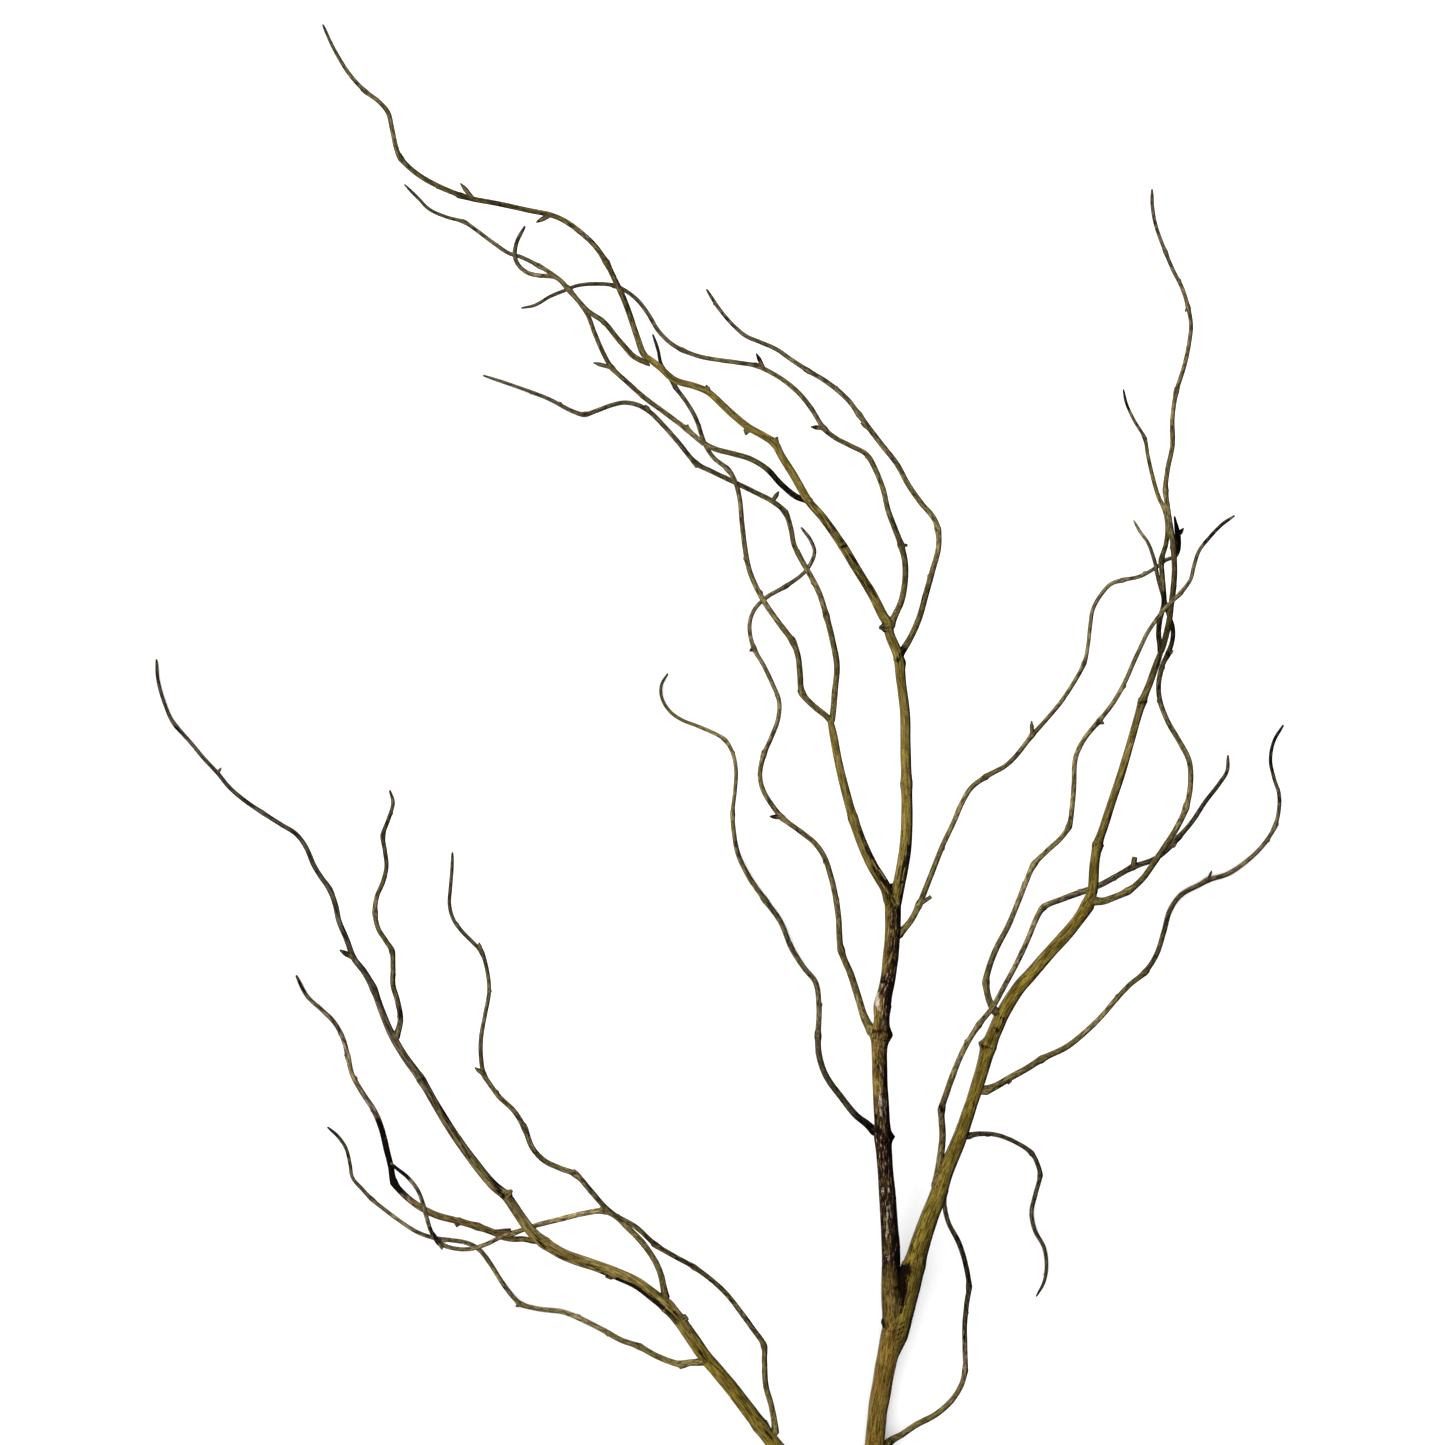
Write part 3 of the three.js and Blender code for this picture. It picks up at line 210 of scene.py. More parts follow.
        [826.4, 615.4, 52], [819, 592.5, 53], [809, 573, 53], [801.5, 560, 52], [794, 544.5, 50],
        [791, 529, 47], [785, 512, 44], [772.3, 501.2, 42], [755.5, 492.5, 38], [734, 482, 34],
        [712, 471.5, 30], [696, 463, 27], [678.3, 442.2, 22], [664, 426, 18], [650, 412, 14],
        [638, 405, 12], [624.4, 402.5, 10], [611.4, 405.2, 9], [597, 410.5, 9], [584.5, 414.5, 9],
        [572, 411, 8], [549, 399, 5], [526, 390, 2], [503, 382, 0], [483.5, 375.5, 0]
    ], straight_on=True, knots=[5, 11, 16, 24],
       spurs=[[12, 778.5, 492, 2], [16, 696, 467.5, 0], [19, 645.5, 405.5, 1]]),
    twig("side_inner_twig", "side_limb", [4.2, 4.1, 3.8, 3.5, 3.2, 3.0, 2.3], [
        [832, 724, 41.5], [827, 717, 42], [813.5, 706, 44], [802, 692.5, 46], [800, 674, 47],
        [798, 656, 48], [792.7, 641.7, 48], [778, 621.7, 47], [763, 600, 46], [750, 572, 46],
        [745, 548, 46], [742, 523, 46], [739.5, 498, 45], [735, 481, 43], [728, 469.5, 41], [714, 458, 39],
        [706, 446.5, 37], [701.5, 435, 36], [696, 419, 36], [687, 403, 37], [675, 386.5, 38],
        [668, 375, 38], [661, 363.5, 38], [658, 350, 40], [653, 335, 43]
    ], straight_on=True, knots=[3, 6, 14, 20]),
    twig("stem_upper_twig", "centre_stem", [5.8, 4.5, 3.9, 3.6, 3.3, 3.1, 3.0, 2.6], [
        [877.5, 1039, 37.5], [871.5, 1030.5, 38], [864.6, 1018, 38.5], [858.3, 998, 40], [851, 975, 42],
        [841, 950, 45], [838.5, 917, 48], [834, 889.3, 50], [830.8, 876.4, 50], [825, 858.5, 50],
        [815.5, 844, 49], [799, 830.5, 47], [782.3, 817.7, 45], [770.5, 803, 43], [762.5, 788.5, 41],
        [760, 774, 40], [764, 754.3, 38], [770.8, 738.4, 37], [778, 719.2, 36], [779, 701, 34],
        [772, 683, 32], [764, 666, 30], [754, 648.5, 29], [750, 634, 29], [750, 621, 29], [755.5, 608, 30],
        [767, 597, 31], [786, 586, 33], [801.5, 575, 36], [809, 566.5, 38], [814.5, 552, 41],
        [810.1, 539.4, 44], [801.5, 528, 47]
    ], knots=[5, 12, 16, 22, 27], spurs=[[12, 770.5, 816.5, 0], [22, 750, 651, 0]]),
    twig("stem_lower_twig", "centre_stem", [4.9, 4.4, 3.8, 3.7, 3.5, 2.8, 2.7, 2.1], [
        [880, 1138, 29.5], [874, 1131, 30], [866, 1123.5, 30.5], [855.8, 1115.2, 30], [841, 1097, 29],
        [826, 1076, 27], [819, 1055, 24], [818, 1036, 20], [819, 1009, 15], [815.5, 982.5, 10],
        [803.9, 967.8, 7], [791.5, 948, 3], [780, 921, 0.5], [765, 900, 0], [748.8, 876.7, 1],
        [738, 854, 4], [734, 833.5, 8], [732.5, 814, 12], [735, 790.5, 16], [736, 772, 18], [733, 754, 19],
        [725, 740, 19], [711.5, 732, 17], [697, 726, 14], [681, 719.5, 10], [669.5, 711, 6],
        [661.5, 697, 2], [661.5, 684.5, 0], [667.5, 674, 0]
    ], knots=[7, 13, 17, 21]),
    twig("stem_right_twig", "centre_stem", [4.6, 3.8, 3.6, 3.2, 2.9, 2.9, 2.4], [
        [893, 941, 44.5], [900, 933, 45], [910.7, 920.8, 44.5], [919, 905, 44], [931.3, 874.3, 44],
        [942, 847, 43], [953.5, 822.5, 42], [962.1, 802.6, 40], [971, 788, 39], [986, 776.5, 37],
        [1005, 766, 35], [1015, 757, 34], [1032, 735.5, 32], [1045, 721, 31], [1063, 699, 30],
        [1084, 663.5, 29], [1088, 645, 29], [1090, 627, 29], [1093, 609, 30], [1101.5, 594, 31],
        [1111, 584, 33], [1123, 580, 34], [1139.5, 576.5, 35], [1156, 567.5, 36], [1166, 560, 36],
        [1175.5, 556, 36], [1178.2, 549, 37], [1177.8, 536, 39], [1174.6, 517, 42]
    ], knots=[3, 9, 12, 15, 21], spurs=[[12, 1031.5, 721.5, 2], [27, 1183.2, 528.5, 2, 1.2, 1.6]],
       stubs=[[3, 931, 896.5, 1, 0.72]]),
    twig("right_tip_twig", "right_limb_top", [4.4, 4.1, 3.6, 3.3, 3.1, 2.8, 2.7], [
        [1159, 656, 54], [1162.5, 648, 54.5], [1166, 635.5, 55], [1169.5, 619, 57], [1171, 606, 58],
        [1173, 591, 60], [1174.5, 569, 63], [1173, 544, 66], [1170, 523, 69], [1167.5, 506, 71],
        [1165.5, 490, 73], [1167.5, 470, 75], [1172.5, 445, 77], [1172.5, 418, 78], [1176.5, 391, 78],
        [1184, 367, 77], [1189, 344, 75], [1191, 325, 72], [1188, 307.2, 69], [1182.5, 289, 65],
        [1173, 270, 60], [1165.5, 252, 54], [1156, 226, 44], [1152.5, 207.5, 36], [1152, 190, 28]
    ], straight_on=True, knots=[10, 14, 18, 21], spurs=[[18, 1185.3, 311.5, 0, 0.7]]),
    twig("right_short_twig", "right_limb_top", [3.9, 3.8, 3.5, 3.1, 2.5, 2.1], [
        [1159.5, 656, 54], [1160, 648, 54], [1158.5, 633, 54], [1160, 619, 54], [1164, 604, 54],
        [1163.7, 592, 54], [1162.5, 577, 54], [1161.5, 560, 54], [1166, 544, 54], [1167.5, 528, 54],
        [1165, 511, 54], [1158.4, 496.4, 54], [1153, 478, 53], [1148, 456.5, 51], [1144.5, 438, 48],
        [1134, 420, 44], [1126.5, 403.5, 39], [1123.5, 390, 34]
    ], straight_on=True, knots=[7, 14]),
    twig("right_bow_twig", "right_limb", [4.8, 4.3, 4.0, 3.7, 3.6, 3.1, 2.3], [
        [1087, 903, 41], [1094, 901, 41.5], [1102.4, 901, 42], [1112, 898, 42], [1128, 891, 42],
        [1142.2, 879, 42], [1153, 864, 42], [1164, 847.5, 42], [1176, 829, 43], [1186, 807.5, 44],
        [1190.5, 783, 45], [1189, 761, 45], [1179, 741, 45], [1167.5, 721, 45], [1160, 701, 45],
        [1158.5, 685, 44], [1162.5, 665, 44], [1168, 653.5, 45], [1172.5, 639, 46], [1172.5, 627, 46],
        [1169.5, 617.4, 46], [1164, 599, 46], [1157.5, 576, 46], [1154.5, 561, 46], [1148, 543, 45],
        [1139.5, 531, 43], [1134, 521, 41]
    ], knots=[4, 9, 17], spurs=[[17, 1172.6, 651, 0]]),
    twig("right_inner_twig", "right_limb", [4.6, 4.1, 3.7, 3.6, 3.4, 3.0, 2.8, 2.5], [
        [1000, 1018, 41], [995, 1011, 41.5], [989.5, 1001, 42.5], [986, 982, 45], [988.2, 970.4, 47],
        [995.5, 950.5, 50], [1009, 924, 54], [1018.5, 901, 58], [1026, 882, 62], [1034, 864.5, 65],
        [1047, 851, 68], [1060, 839, 70], [1069, 826, 72], [1072, 808, 74], [1074, 785, 76],
        [1074.5, 765, 77], [1077, 753, 77], [1085, 738, 77], [1099, 721, 76], [1113, 703, 75],
        [1124.5, 683, 74], [1134, 661.4, 73], [1143.6, 640.6, 72], [1148, 632, 71], [1159.5, 615.5, 70],
        [1169.5, 604, 69], [1181, 592.5, 68], [1190.4, 579.7, 66], [1194, 566, 64], [1199, 551, 61],
        [1209, 538, 57], [1222, 524.5, 52], [1234, 516, 46]
    ], knots=[3, 9, 12, 18, 26], spurs=[[18, 1103.5, 723.5, 0]]),
    twig("right_crossing_twig", "right_limb", [5.4, 4.6, 4.0, 3.7, 3.8, 4.3, 3.9, 3.3, 2.7], [
        [937, 1194, 33], [936.5, 1184, 34], [940, 1160, 36], [942.5, 1137, 38], [941.7, 1109, 41],
        [946.5, 1093, 43], [954, 1072, 46], [964, 1049, 48], [979, 1024.5, 51], [992, 1008, 51],
        [1005, 985, 48], [1018, 960.5, 43], [1028, 939, 38], [1037.5, 916, 33], [1043.6, 907, 31],
        [1062.5, 899, 29], [1083, 891.5, 28], [1099, 885.5, 28], [1115, 877, 29], [1133, 867, 30],
        [1154.5, 859, 30], [1170, 847, 30], [1179, 837, 29], [1192.5, 821, 26], [1205.2, 801.9, 22],
        [1219, 784, 16], [1227, 771, 11], [1228, 756, 6]
    ], knots=[4, 8, 14, 19, 22], spurs=[[21, 1176, 844, 0]], stubs=[[19, 1134.8, 857, 2, 1.05]]),
    twig("right_outer_twig", "right_limb", [5.0, 4.4, 3.6, 3.7, 3.5, 3.1, 2.8, 2.4], [
        [978, 1093, 38], [984, 1091, 38.5], [996, 1086, 38], [1009.5, 1078, 38], [1027.6, 1068, 37],
        [1042, 1059, 36], [1065.8, 1047.4, 33], [1079.3, 1037.3, 31], [1099, 1019, 27],
        [1114.8, 1000.8, 23], [1129.5, 985, 19], [1145, 972, 15], [1156.5, 954.5, 11], [1164, 931.5, 7],
        [1170, 910.5, 4], [1181, 895, 2], [1200, 884.5, 0], [1208, 880, 0], [1227.5, 874, 0],
        [1247.5, 860.5, 1], [1264, 844, 4], [1275, 826, 8], [1279, 809, 13], [1279, 794, 18],
        [1274, 778, 24], [1270.5, 759.5, 31], [1274, 741, 38], [1283, 725.5, 44]
    ], knots=[5, 11, 17, 21], spurs=[[17, 1211.5, 871, 2, 0.6], [3, 1008.5, 1083.2, 0]]),
    twig("right_curl_twig", "right_limb", [3.6, 3.1, 3.2, 3.1, 2.7, 2.2], [
        [961, 1139, 36], [967, 1136.5, 36], [977.2, 1134, 34], [995.8, 1134.7, 30], [1015, 1142, 24],
        [1031.4, 1153, 18], [1038.5, 1167, 13], [1040, 1176, 10], [1035.5, 1194, 5], [1031.5, 1213, 1],
        [1035, 1230.6, 0], [1044, 1247.5, 0], [1046.5, 1266.5, 1], [1044, 1282, 4], [1036.5, 1296, 8]
    ], knots=[5, 7]),
    twig("trunk_bow_twig", "trunk", [4.6, 4.2, 3.6, 3.6, 3.5, 2.8], [
        [879, 1451, 5], [885, 1446, 5], [892, 1440, 5], [901.2, 1435, 5], [916, 1425, 6], [936.5, 1414, 8],
        [952, 1400, 10], [961.5, 1384.5, 12], [965, 1370, 13], [965, 1348, 14], [964.7, 1325, 15],
        [966.5, 1305, 15], [969, 1286, 15], [965.8, 1265.2, 15], [959, 1243, 15], [948.5, 1222.5, 15],
        [944.5, 1205, 16], [945.5, 1192, 17], [949, 1179, 19]
    ], knots=[8, 12]),
    twig("left_arch_twig", "left_limb", [4.2, 3.9, 3.5, 3.6, 4.0, 3.6, 3.0, 2.9, 2.5], [
        [774, 1437, 15], [775, 1428, 16], [771.6, 1406.3, 19], [766, 1386.2, 23], [764.5, 1361, 28],
        [763.9, 1345.5, 31], [753, 1329, 35], [740, 1311, 40], [726, 1293.5, 45], [711.3, 1279.8, 50],
        [694, 1267, 55], [674, 1256, 60], [656, 1245, 64], [635, 1226.5, 69], [616, 1216, 72],
        [604, 1206, 74], [591, 1191.2, 76], [575.5, 1174.5, 78], [559.5, 1168, 79], [544, 1160.5, 80],
        [532.5, 1148, 81], [524.5, 1128, 81], [514, 1111, 80], [499.1, 1096.8, 78], [489, 1083, 76],
        [484, 1075, 75], [481, 1057, 72], [481, 1039, 69], [485, 1015, 65], [489, 992, 61],
        [487.5, 972.5, 57], [481.5, 952, 52], [473, 942.5, 50], [462.5, 932, 47], [453.5, 919.5, 43],
        [449.5, 905, 39], [450.5, 887, 34], [452, 869, 29], [452.5, 853, 24]
    ], knots=[5, 10, 12, 17, 21, 25, 31], spurs=[[25, 475.5, 1068, 1], [31, 479, 943, 1]]),
    twig("left_loop_twig", "left_limb", [4.4, 4.3, 4.1, 3.7, 3.2, 3.0, 3.0, 2.7], [
        [666, 1302, 30], [665, 1295, 31], [663.4, 1286.2, 32], [660.4, 1273.3, 33], [653.9, 1259.1, 34],
        [641, 1241, 34], [626.5, 1226.5, 33], [616, 1216.5, 32], [604, 1211, 31], [583.5, 1213.5, 30],
        [563, 1218.5, 30], [539, 1224.5, 29.5], [526.5, 1228.5, 29], [514, 1233, 29], [500, 1237.5, 28.5],
        [485.5, 1244.5, 28], [469.5, 1249, 27.5], [455, 1248.5, 27], [440.5, 1243.5, 26.5],
        [432, 1233, 26.5], [426.5, 1217, 26], [422.5, 1202, 26], [417.4, 1189.6, 25.5], [407.2, 1176.8, 25],
        [397, 1168.6, 24.5], [391.5, 1163.5, 24]
    ], knots=[8, 13, 18], spurs=[[18, 442, 1249, 0]]),
    twig("left_low_twig", "left_limb", [4.8, 4.1, 3.5, 3.2, 3.3, 2.9, 2.7, 2.3], [
        [709, 1358.5, 25], [702, 1361.5, 24], [688.5, 1363, 20], [682, 1364.5, 18], [674.5, 1363, 16],
        [656.5, 1356, 12], [639, 1346.5, 9], [621, 1340, 6], [604, 1330.5, 3], [584, 1320.5, 1],
        [563, 1312, 0], [539, 1309, 0], [520.5, 1304, 1], [514, 1298, 2], [502.5, 1283, 5],
        [490.5, 1264, 9], [479, 1249.5, 12], [467, 1243, 14], [450, 1240, 16], [432, 1237.5, 17],
        [416, 1231.5, 17], [400.5, 1221.5, 16], [385, 1210, 14], [371.5, 1199, 12], [363.3, 1190.3, 11],
        [352.5, 1177.5, 9], [350, 1164, 8], [346, 1148.5, 6], [338, 1136.5, 3], [328, 1127.5, 1]
    ], knots=[3, 6, 12, 23], spurs=[[3, 680.6, 1368, -1], [12, 516.2, 1306.3, 0]]),
    twig("left_under_twig", "left_limb", [3.5, 4.5, 4.8, 4.4, 4.2, 3.4, 3.2, 2.6], [
        [541, 1240, 37], [533, 1240.5, 34], [523.1, 1239, 29], [513, 1239, 24.5], [503, 1237, 22],
        [494, 1232.5, 21], [477, 1226.5, 20], [458, 1221, 19], [436, 1215, 19], [418.5, 1206, 18],
        [404, 1194.5, 18], [394, 1182, 17], [390.8, 1166.2, 17], [387, 1151, 17], [381.5, 1128.5, 16],
        [374, 1110.5, 15], [362.5, 1093, 13], [352.5, 1075, 11], [348, 1057, 9], [342.5, 1037, 7],
        [333.5, 1021.5, 5], [321.7, 1009.8, 4], [307, 996, 2], [296.5, 976, 1]
    ], bark="dark", knots=[6, 11, 18], spurs=[[7, 457, 1226, -1]], stubs=[[5, 511, 1230.8, 1, 1]]),
    twig("left_upright_twig", "left_limb", [4.2, 3.7, 3.5, 3.3, 3.1, 2.7], [
        [394, 1041, 51], [397, 1034, 52], [400.5, 1020, 54], [397.5, 1001, 58], [393, 985, 62],
        [393, 967.5, 66], [392, 951, 69], [386, 941, 71], [378, 928, 73], [375, 912, 74], [377, 896, 75],
        [383, 882, 75], [386.5, 866, 74], [385, 851.5, 73], [383, 835.5, 71], [388.5, 819, 68],
        [393, 803, 65], [390, 791, 62]
    ], knots=[6, 9, 14]),
]
BY_NAME = {shoot["name"]: shoot for shoot in SHOOTS}

# What the bark shows on each shoot. Stretches run between two places in the route, by number.
#   tone     how light the bark is, at equal steps from the root to the tip
#   dusk     how much of it is dark grey-brown, the same way
#   stains   [from, to, strength]   nearly black stretches
#   kin      [from, to, strength]   stretches in the bark's second colour
#   bare     [from, to, strength]   pale, worn stretches
#   scars    [across, down, across, down, reach, strength]   dark strokes, in picture points
#   flecks   the same for pale strokes
#   skins    the same for strokes in the bark's second colour
#   folds    [from, to]   stretches with folds across
#   bumps    [place in the route, degrees round, height and reach in mm]   0 faces right, 90 up
#   lips     [place in the route, height in mm]   where the bark steps down all round
#   painted_shade   how strong the painted shade on its dark side is, where that is less than usual
#   sprout_dark, sprout_kin   how dark the ends of its spurs are, and how much second colour they have
#   sprout_from   from where on its spurs are dark, as a share of their length
# Dark strokes in the crotch where the stem and the right limb part: a dark mark of the bark, and painted
# shade between the two
CROTCH_SCAR_AND_SHADE = [[908, 1266.5, 908, 1272, 2.8, 1.2], [904, 1267, 903.5, 1276, 2.6, 1.2],
          [904.5, 1272, 903.5, 1292, 3.2, 1.2], [903.5, 1290, 902, 1304, 2.4, 1.15],
          [902, 1302, 901, 1313, 1.2, 1.05]]
WRINKLES = [[899.5, 1325, 905, 1321.5, 0.8, 0.9], [898.5, 1330, 904, 1326.5, 0.8, 0.9],
            [897, 1335, 903, 1331.5, 0.8, 0.9], [896, 1340, 901, 1337, 0.8, 0.8]]
MARKS = {
    "trunk": dict(
        tone=[0.95, 0.95, 0.95, 0.88, 0.98], painted_shade=0.5, kin=[[0, 11, 0.85]],
        scars=CROTCH_SCAR_AND_SHADE + WRINKLES + [[888, 1331, 893, 1332, 0.8, 0.8]],
        flecks=[[884, 1333, 889, 1334.6, 1, 0.7], [889, 1334.6, 893.5, 1334.8, 0.9, 0.6]],
        folds=[[10.4, 11]]),
    "centre_stem": dict(
        tone=[0.8, 1.15, 0.9, 1.4, 1.5, 1.05], kin=[[0, 2.4, 0.95], [10.2, 11.3, 0.6], [14.5, 20, 0.35]],
        bare=[[11.9, 13.2, 0.15]],
        scars=CROTCH_SCAR_AND_SHADE + [[894, 1288.5, 899, 1287, 1.2, 0.9], [882, 1321, 882.5, 1327, 2.2, 1.2],
            [897, 1222, 898.5, 1268, 3.2, 1], [895, 1180, 896.5, 1222, 2.4, 0.9],
            [892, 1128, 893.5, 1180, 2.4, 0.8], [888, 1066, 890, 1128, 3, 1],
            [876, 1116, 878, 1134, 2.6, 0.9], [888.5, 1048, 888.5, 1066, 2, 0.8],
            [884, 1075, 888, 1090, 2.6, 0.8], [876, 1062, 878, 1068, 1.4, 0.8],
            [871.5, 1029.5, 878, 1031.5, 1.1, 0.8], [881, 1032, 889, 1030.6, 1, 0.7],
            [874, 1038, 886, 1041, 0.9, 0.9], [876, 1046, 886, 1048, 0.9, 0.8],
            [891, 984, 889, 1024, 2.8, 1.2], [900, 890, 899, 935, 2.6, 1.1], [888, 886, 896, 887, 5, 0.9],
            [886, 899, 899, 904, 4, 0.85], [892, 905, 893, 925, 2.6, 0.6], [886, 893, 890, 897, 0.8, 0.9],
            [887, 900, 894, 903, 0.8, 0.9], [891, 893, 897, 899, 0.9, 0.9], [893, 896, 890, 975, 1.4, 0.8],
            [882, 981.5, 893, 984, 1.6, 1.2], [884, 1222, 885, 1250, 3, 0.7],
            [889, 1139, 890, 1165, 2.6, 0.8], [893, 976, 897, 940, 2.2, 0.8]],
        flecks=[[887, 1226, 888, 1233, 1.2, 0.9], [886.5, 1232, 887.5, 1240, 1.1, 0.8],
            [887, 1256.5, 887.6, 1259.5, 1, 0.9], [891.5, 1257, 892, 1262, 0.8, 0.7],
            [888.6, 1189, 888.8, 1192, 1.1, 1], [882.6, 1188, 883.2, 1194, 1.1, 0.8],
            [886.5, 1290, 891, 1291.4, 0.9, 0.6], [891, 1291.4, 896, 1290.6, 0.9, 0.5],
            [887.4, 1206, 887.4, 1210, 1, 1], [887.4, 1212, 887.4, 1219, 1, 1],
            [890.4, 1205, 891, 1218, 0.9, 0.8], [880, 1097, 881, 1114, 1.8, 0.9],
            # the pale strokes from 876.5, 994 and from 878, 1004 are a painted highlight, the glare on the
            # stem
            [884, 1095, 885, 1112, 1, 0.7], [876.5, 994, 877.5, 1004, 2.4, 1],
            [878, 1004, 879, 1010, 1.6, 0.8], [882.5, 1012, 882.5, 1026, 1, 0.8],
            [890, 900, 890.5, 905, 1, 0.7]],
        skins=[[875.5, 1046, 875, 1124, 3, 1], [877, 1000, 876.5, 1026, 3.6, 1],
            [881, 1042, 881, 1060, 2.4, 0.8], [886, 904, 886.5, 940, 2.4, 1.2],
            [884.5, 940, 882, 972, 2.8, 1.2], [885.5, 1298, 886.5, 1330, 3.6, 1.4],
            [891, 1270, 891, 1285, 4, 0.7]],
        folds=[[10.5, 11.5], [17.1, 18.6]],
        bumps=[[7, 0, 1.8, 2.6], [11, 0, 2.9, 5.6], [11, 170, 1.2, 4], [0.75, 175, 1.1, 2.2]]),
    "centre_limb": dict(
        tone=[0.85, 1.1, 1.1, 0.95, 0.8],
        scars=[[909, 846, 907.5, 860, 1.6, 0.9], [906.5, 858, 903.5, 872, 3, 1],
            [904, 872, 901.5, 902, 3, 1], [890, 892, 893, 906, 4, 0.9], [884, 629.5, 889, 631.5, 1, 0.7],
            [894.5, 627, 896, 633, 1.2, 0.8], [879, 625, 881.5, 632, 1.6, 0.8],
            [898, 660, 903, 652, 2, 0.9]],
        flecks=[[879, 629, 882, 630.5, 0.9, 0.7], [894, 896, 898, 904, 0.6, 0.8],
            [903, 880, 905, 868, 0.6, 0.8], [901, 893, 902.5, 884, 0.6, 0.7],
            [891, 899, 895, 906, 0.5, 0.7]],
        folds=[[9.8, 10.8]], bumps=[[8.7, 0, 1.1, 3]], sprout_kin=0, sprout_from=0.45),
    "centre_limb_top": dict(
        tone=[0.85, 1, 0.95, 0.8, 0.7],
        stains=[[15.8, 16.6, 0.5], [2.6, 4.7, 0.7], [4.9, 7.2, 0.68], [10, 10.5, 0.6]],
        scars=[[842, 547, 846, 545, 1.7, 1], [850, 555, 858, 565, 1.3, 0.8],
            [826, 524, 833, 533, 1.8, 0.8], [866, 576, 872, 586, 1.2, 0.7], [808, 500, 816, 509, 2, 0.8]],
        flecks=[[840.5, 544.6, 845.5, 542.6, 0.8, 0.5]], bumps=[[1.2, 0, 1.2, 2.6]], lips=[[5, 0.25]]),
    "side_limb": dict(
        tone=[0.6, 0.75, 0.85, 0.75, 1.05], kin=[[0, 3.2, 1]],
        scars=[[891, 896, 885, 880, 5.4, 0.9], [885, 880, 877, 867, 4.6, 1], [877, 867, 868, 848, 3, 0.95],
            [868, 848, 861, 832, 2, 0.8], [878, 884, 870, 870, 1, 0.6], [872, 864, 864, 850, 0.9, 0.6],
            [850, 800, 854, 814, 1.4, 0.6]],
        flecks=[[888, 893, 881, 883, 0.6, 0.8], [885, 879, 879, 870, 0.6, 0.75],
            [877, 869, 872, 860, 0.6, 0.75], [884, 890, 879, 880, 0.5, 0.7]]),
    "left_limb": dict(
        tone=[0.7, 0.8, 0.95, 1, 0.95, 0.75, 0.55, 0.42, 0.38, 0.38, 0.4],
        dusk=[0, 0, 0, 0.1, 0.2, 0.5, 0.8, 1, 1, 1, 1],
        stains=[[20.8, 22, 0.4], [31.2, 32.6, 0.4], [44, 45, 0.4], [50.4, 54, 0.4]], kin=[[0, 10, 0.9]],
        scars=[[417, 1082, 424, 1078, 1.6, 0.9], [433, 1103, 437, 1109, 1.8, 0.7],
            [503, 1197, 508, 1192, 2, 1.1], [500, 1190, 490, 1173, 2.8, 1],
            [470, 1158, 462, 1146, 1.4, 0.85], [451, 1121, 441, 1103, 2.8, 1.05],
            [544, 1247, 536, 1236, 2.2, 0.8], [556, 1255, 566, 1260, 1, 0.75],
            [588, 1264, 598, 1269, 1.7, 0.75], [602, 1274, 612, 1279.5, 1.7, 1.1],
            [617, 1280, 634, 1287, 2.2, 1.2], [634, 1287, 648.5, 1297, 2.2, 1.2],
            [648.5, 1297, 663, 1308.5, 2.4, 1.1], [663, 1308.5, 677, 1322.5, 2.4, 0.9],
            [675, 1312, 681, 1318, 1.8, 0.9], [656, 1291, 662, 1297, 1, 0.6],
            [690, 1332, 697, 1342, 1.2, 0.6], [684, 1330, 689, 1338, 1, 0.6],
            [698, 1346, 706, 1358, 1.1, 0.6], [716, 1366, 726, 1380, 1.2, 0.55],
            [738, 1396, 748, 1410, 1.2, 0.6], [705, 1361, 700, 1352, 2.2, 0.8],
            [771, 1438, 764, 1430, 1.8, 0.7]],
        flecks=[[416, 1079, 423, 1075, 0.9, 0.7]], sprout_from=0.2),
    "right_limb": dict(
        tone=[0.66, 0.9, 0.8, 1, 0.75], painted_shade=0.66, kin=[[0, 20, 0.85]],
        scars=CROTCH_SCAR_AND_SHADE + WRINKLES + [[912.5, 1246, 913, 1251, 1.6, 0.8], [917, 1255, 918, 1260, 1, 0.6],
            [1000.5, 1017.5, 1004, 1018.5, 1, 1], [1004, 1019, 1003, 1022, 1.1, 1],
            [995.5, 1028, 998, 1031, 1.3, 1], [985, 1046, 992, 1048.5, 1.3, 0.9],
            [981, 1043, 984, 1047, 2, 0.8], [972, 1100, 975, 1106, 1.8, 0.7],
            [989, 1008, 998, 1013, 2, 0.8], [1084, 905, 1090, 897, 1.4, 0.6]],
        flecks=[[995, 1034.5, 996.5, 1036, 0.8, 1], [985, 1044, 992, 1046, 0.9, 0.6]], folds=[[0.8, 2]],
        bumps=[[12, 175, 1.8, 2.6], [3.4, 180, 2.6, 9]], lips=[[12, 0.3]]),
    "right_limb_top": dict(
        tone=[0.85, 0.75, 0.9, 0.85, 0.4], dusk=[0, 0, 0, 0.25, 0.3], kin=[[0, 2.5, 0.8]],
        scars=[[1157, 668, 1161, 650, 1.2, 0.9], [1158, 684, 1162, 680, 1.8, 0.8],
            [1140, 703, 1146, 701, 1, 0.8], [1094, 846, 1101, 843, 1.1, 0.7]],
        flecks=[[1139.5, 700.5, 1145.5, 698, 0.9, 0.5]], lips=[[3, 0.6], [9, 0.5]]),
    "centre_tip_twig": dict(
        tone=[0.9, 0.75, 0.35, 0.6, 0.45], dusk=[0, 0.1, 0.2, 0.3, 0.6],
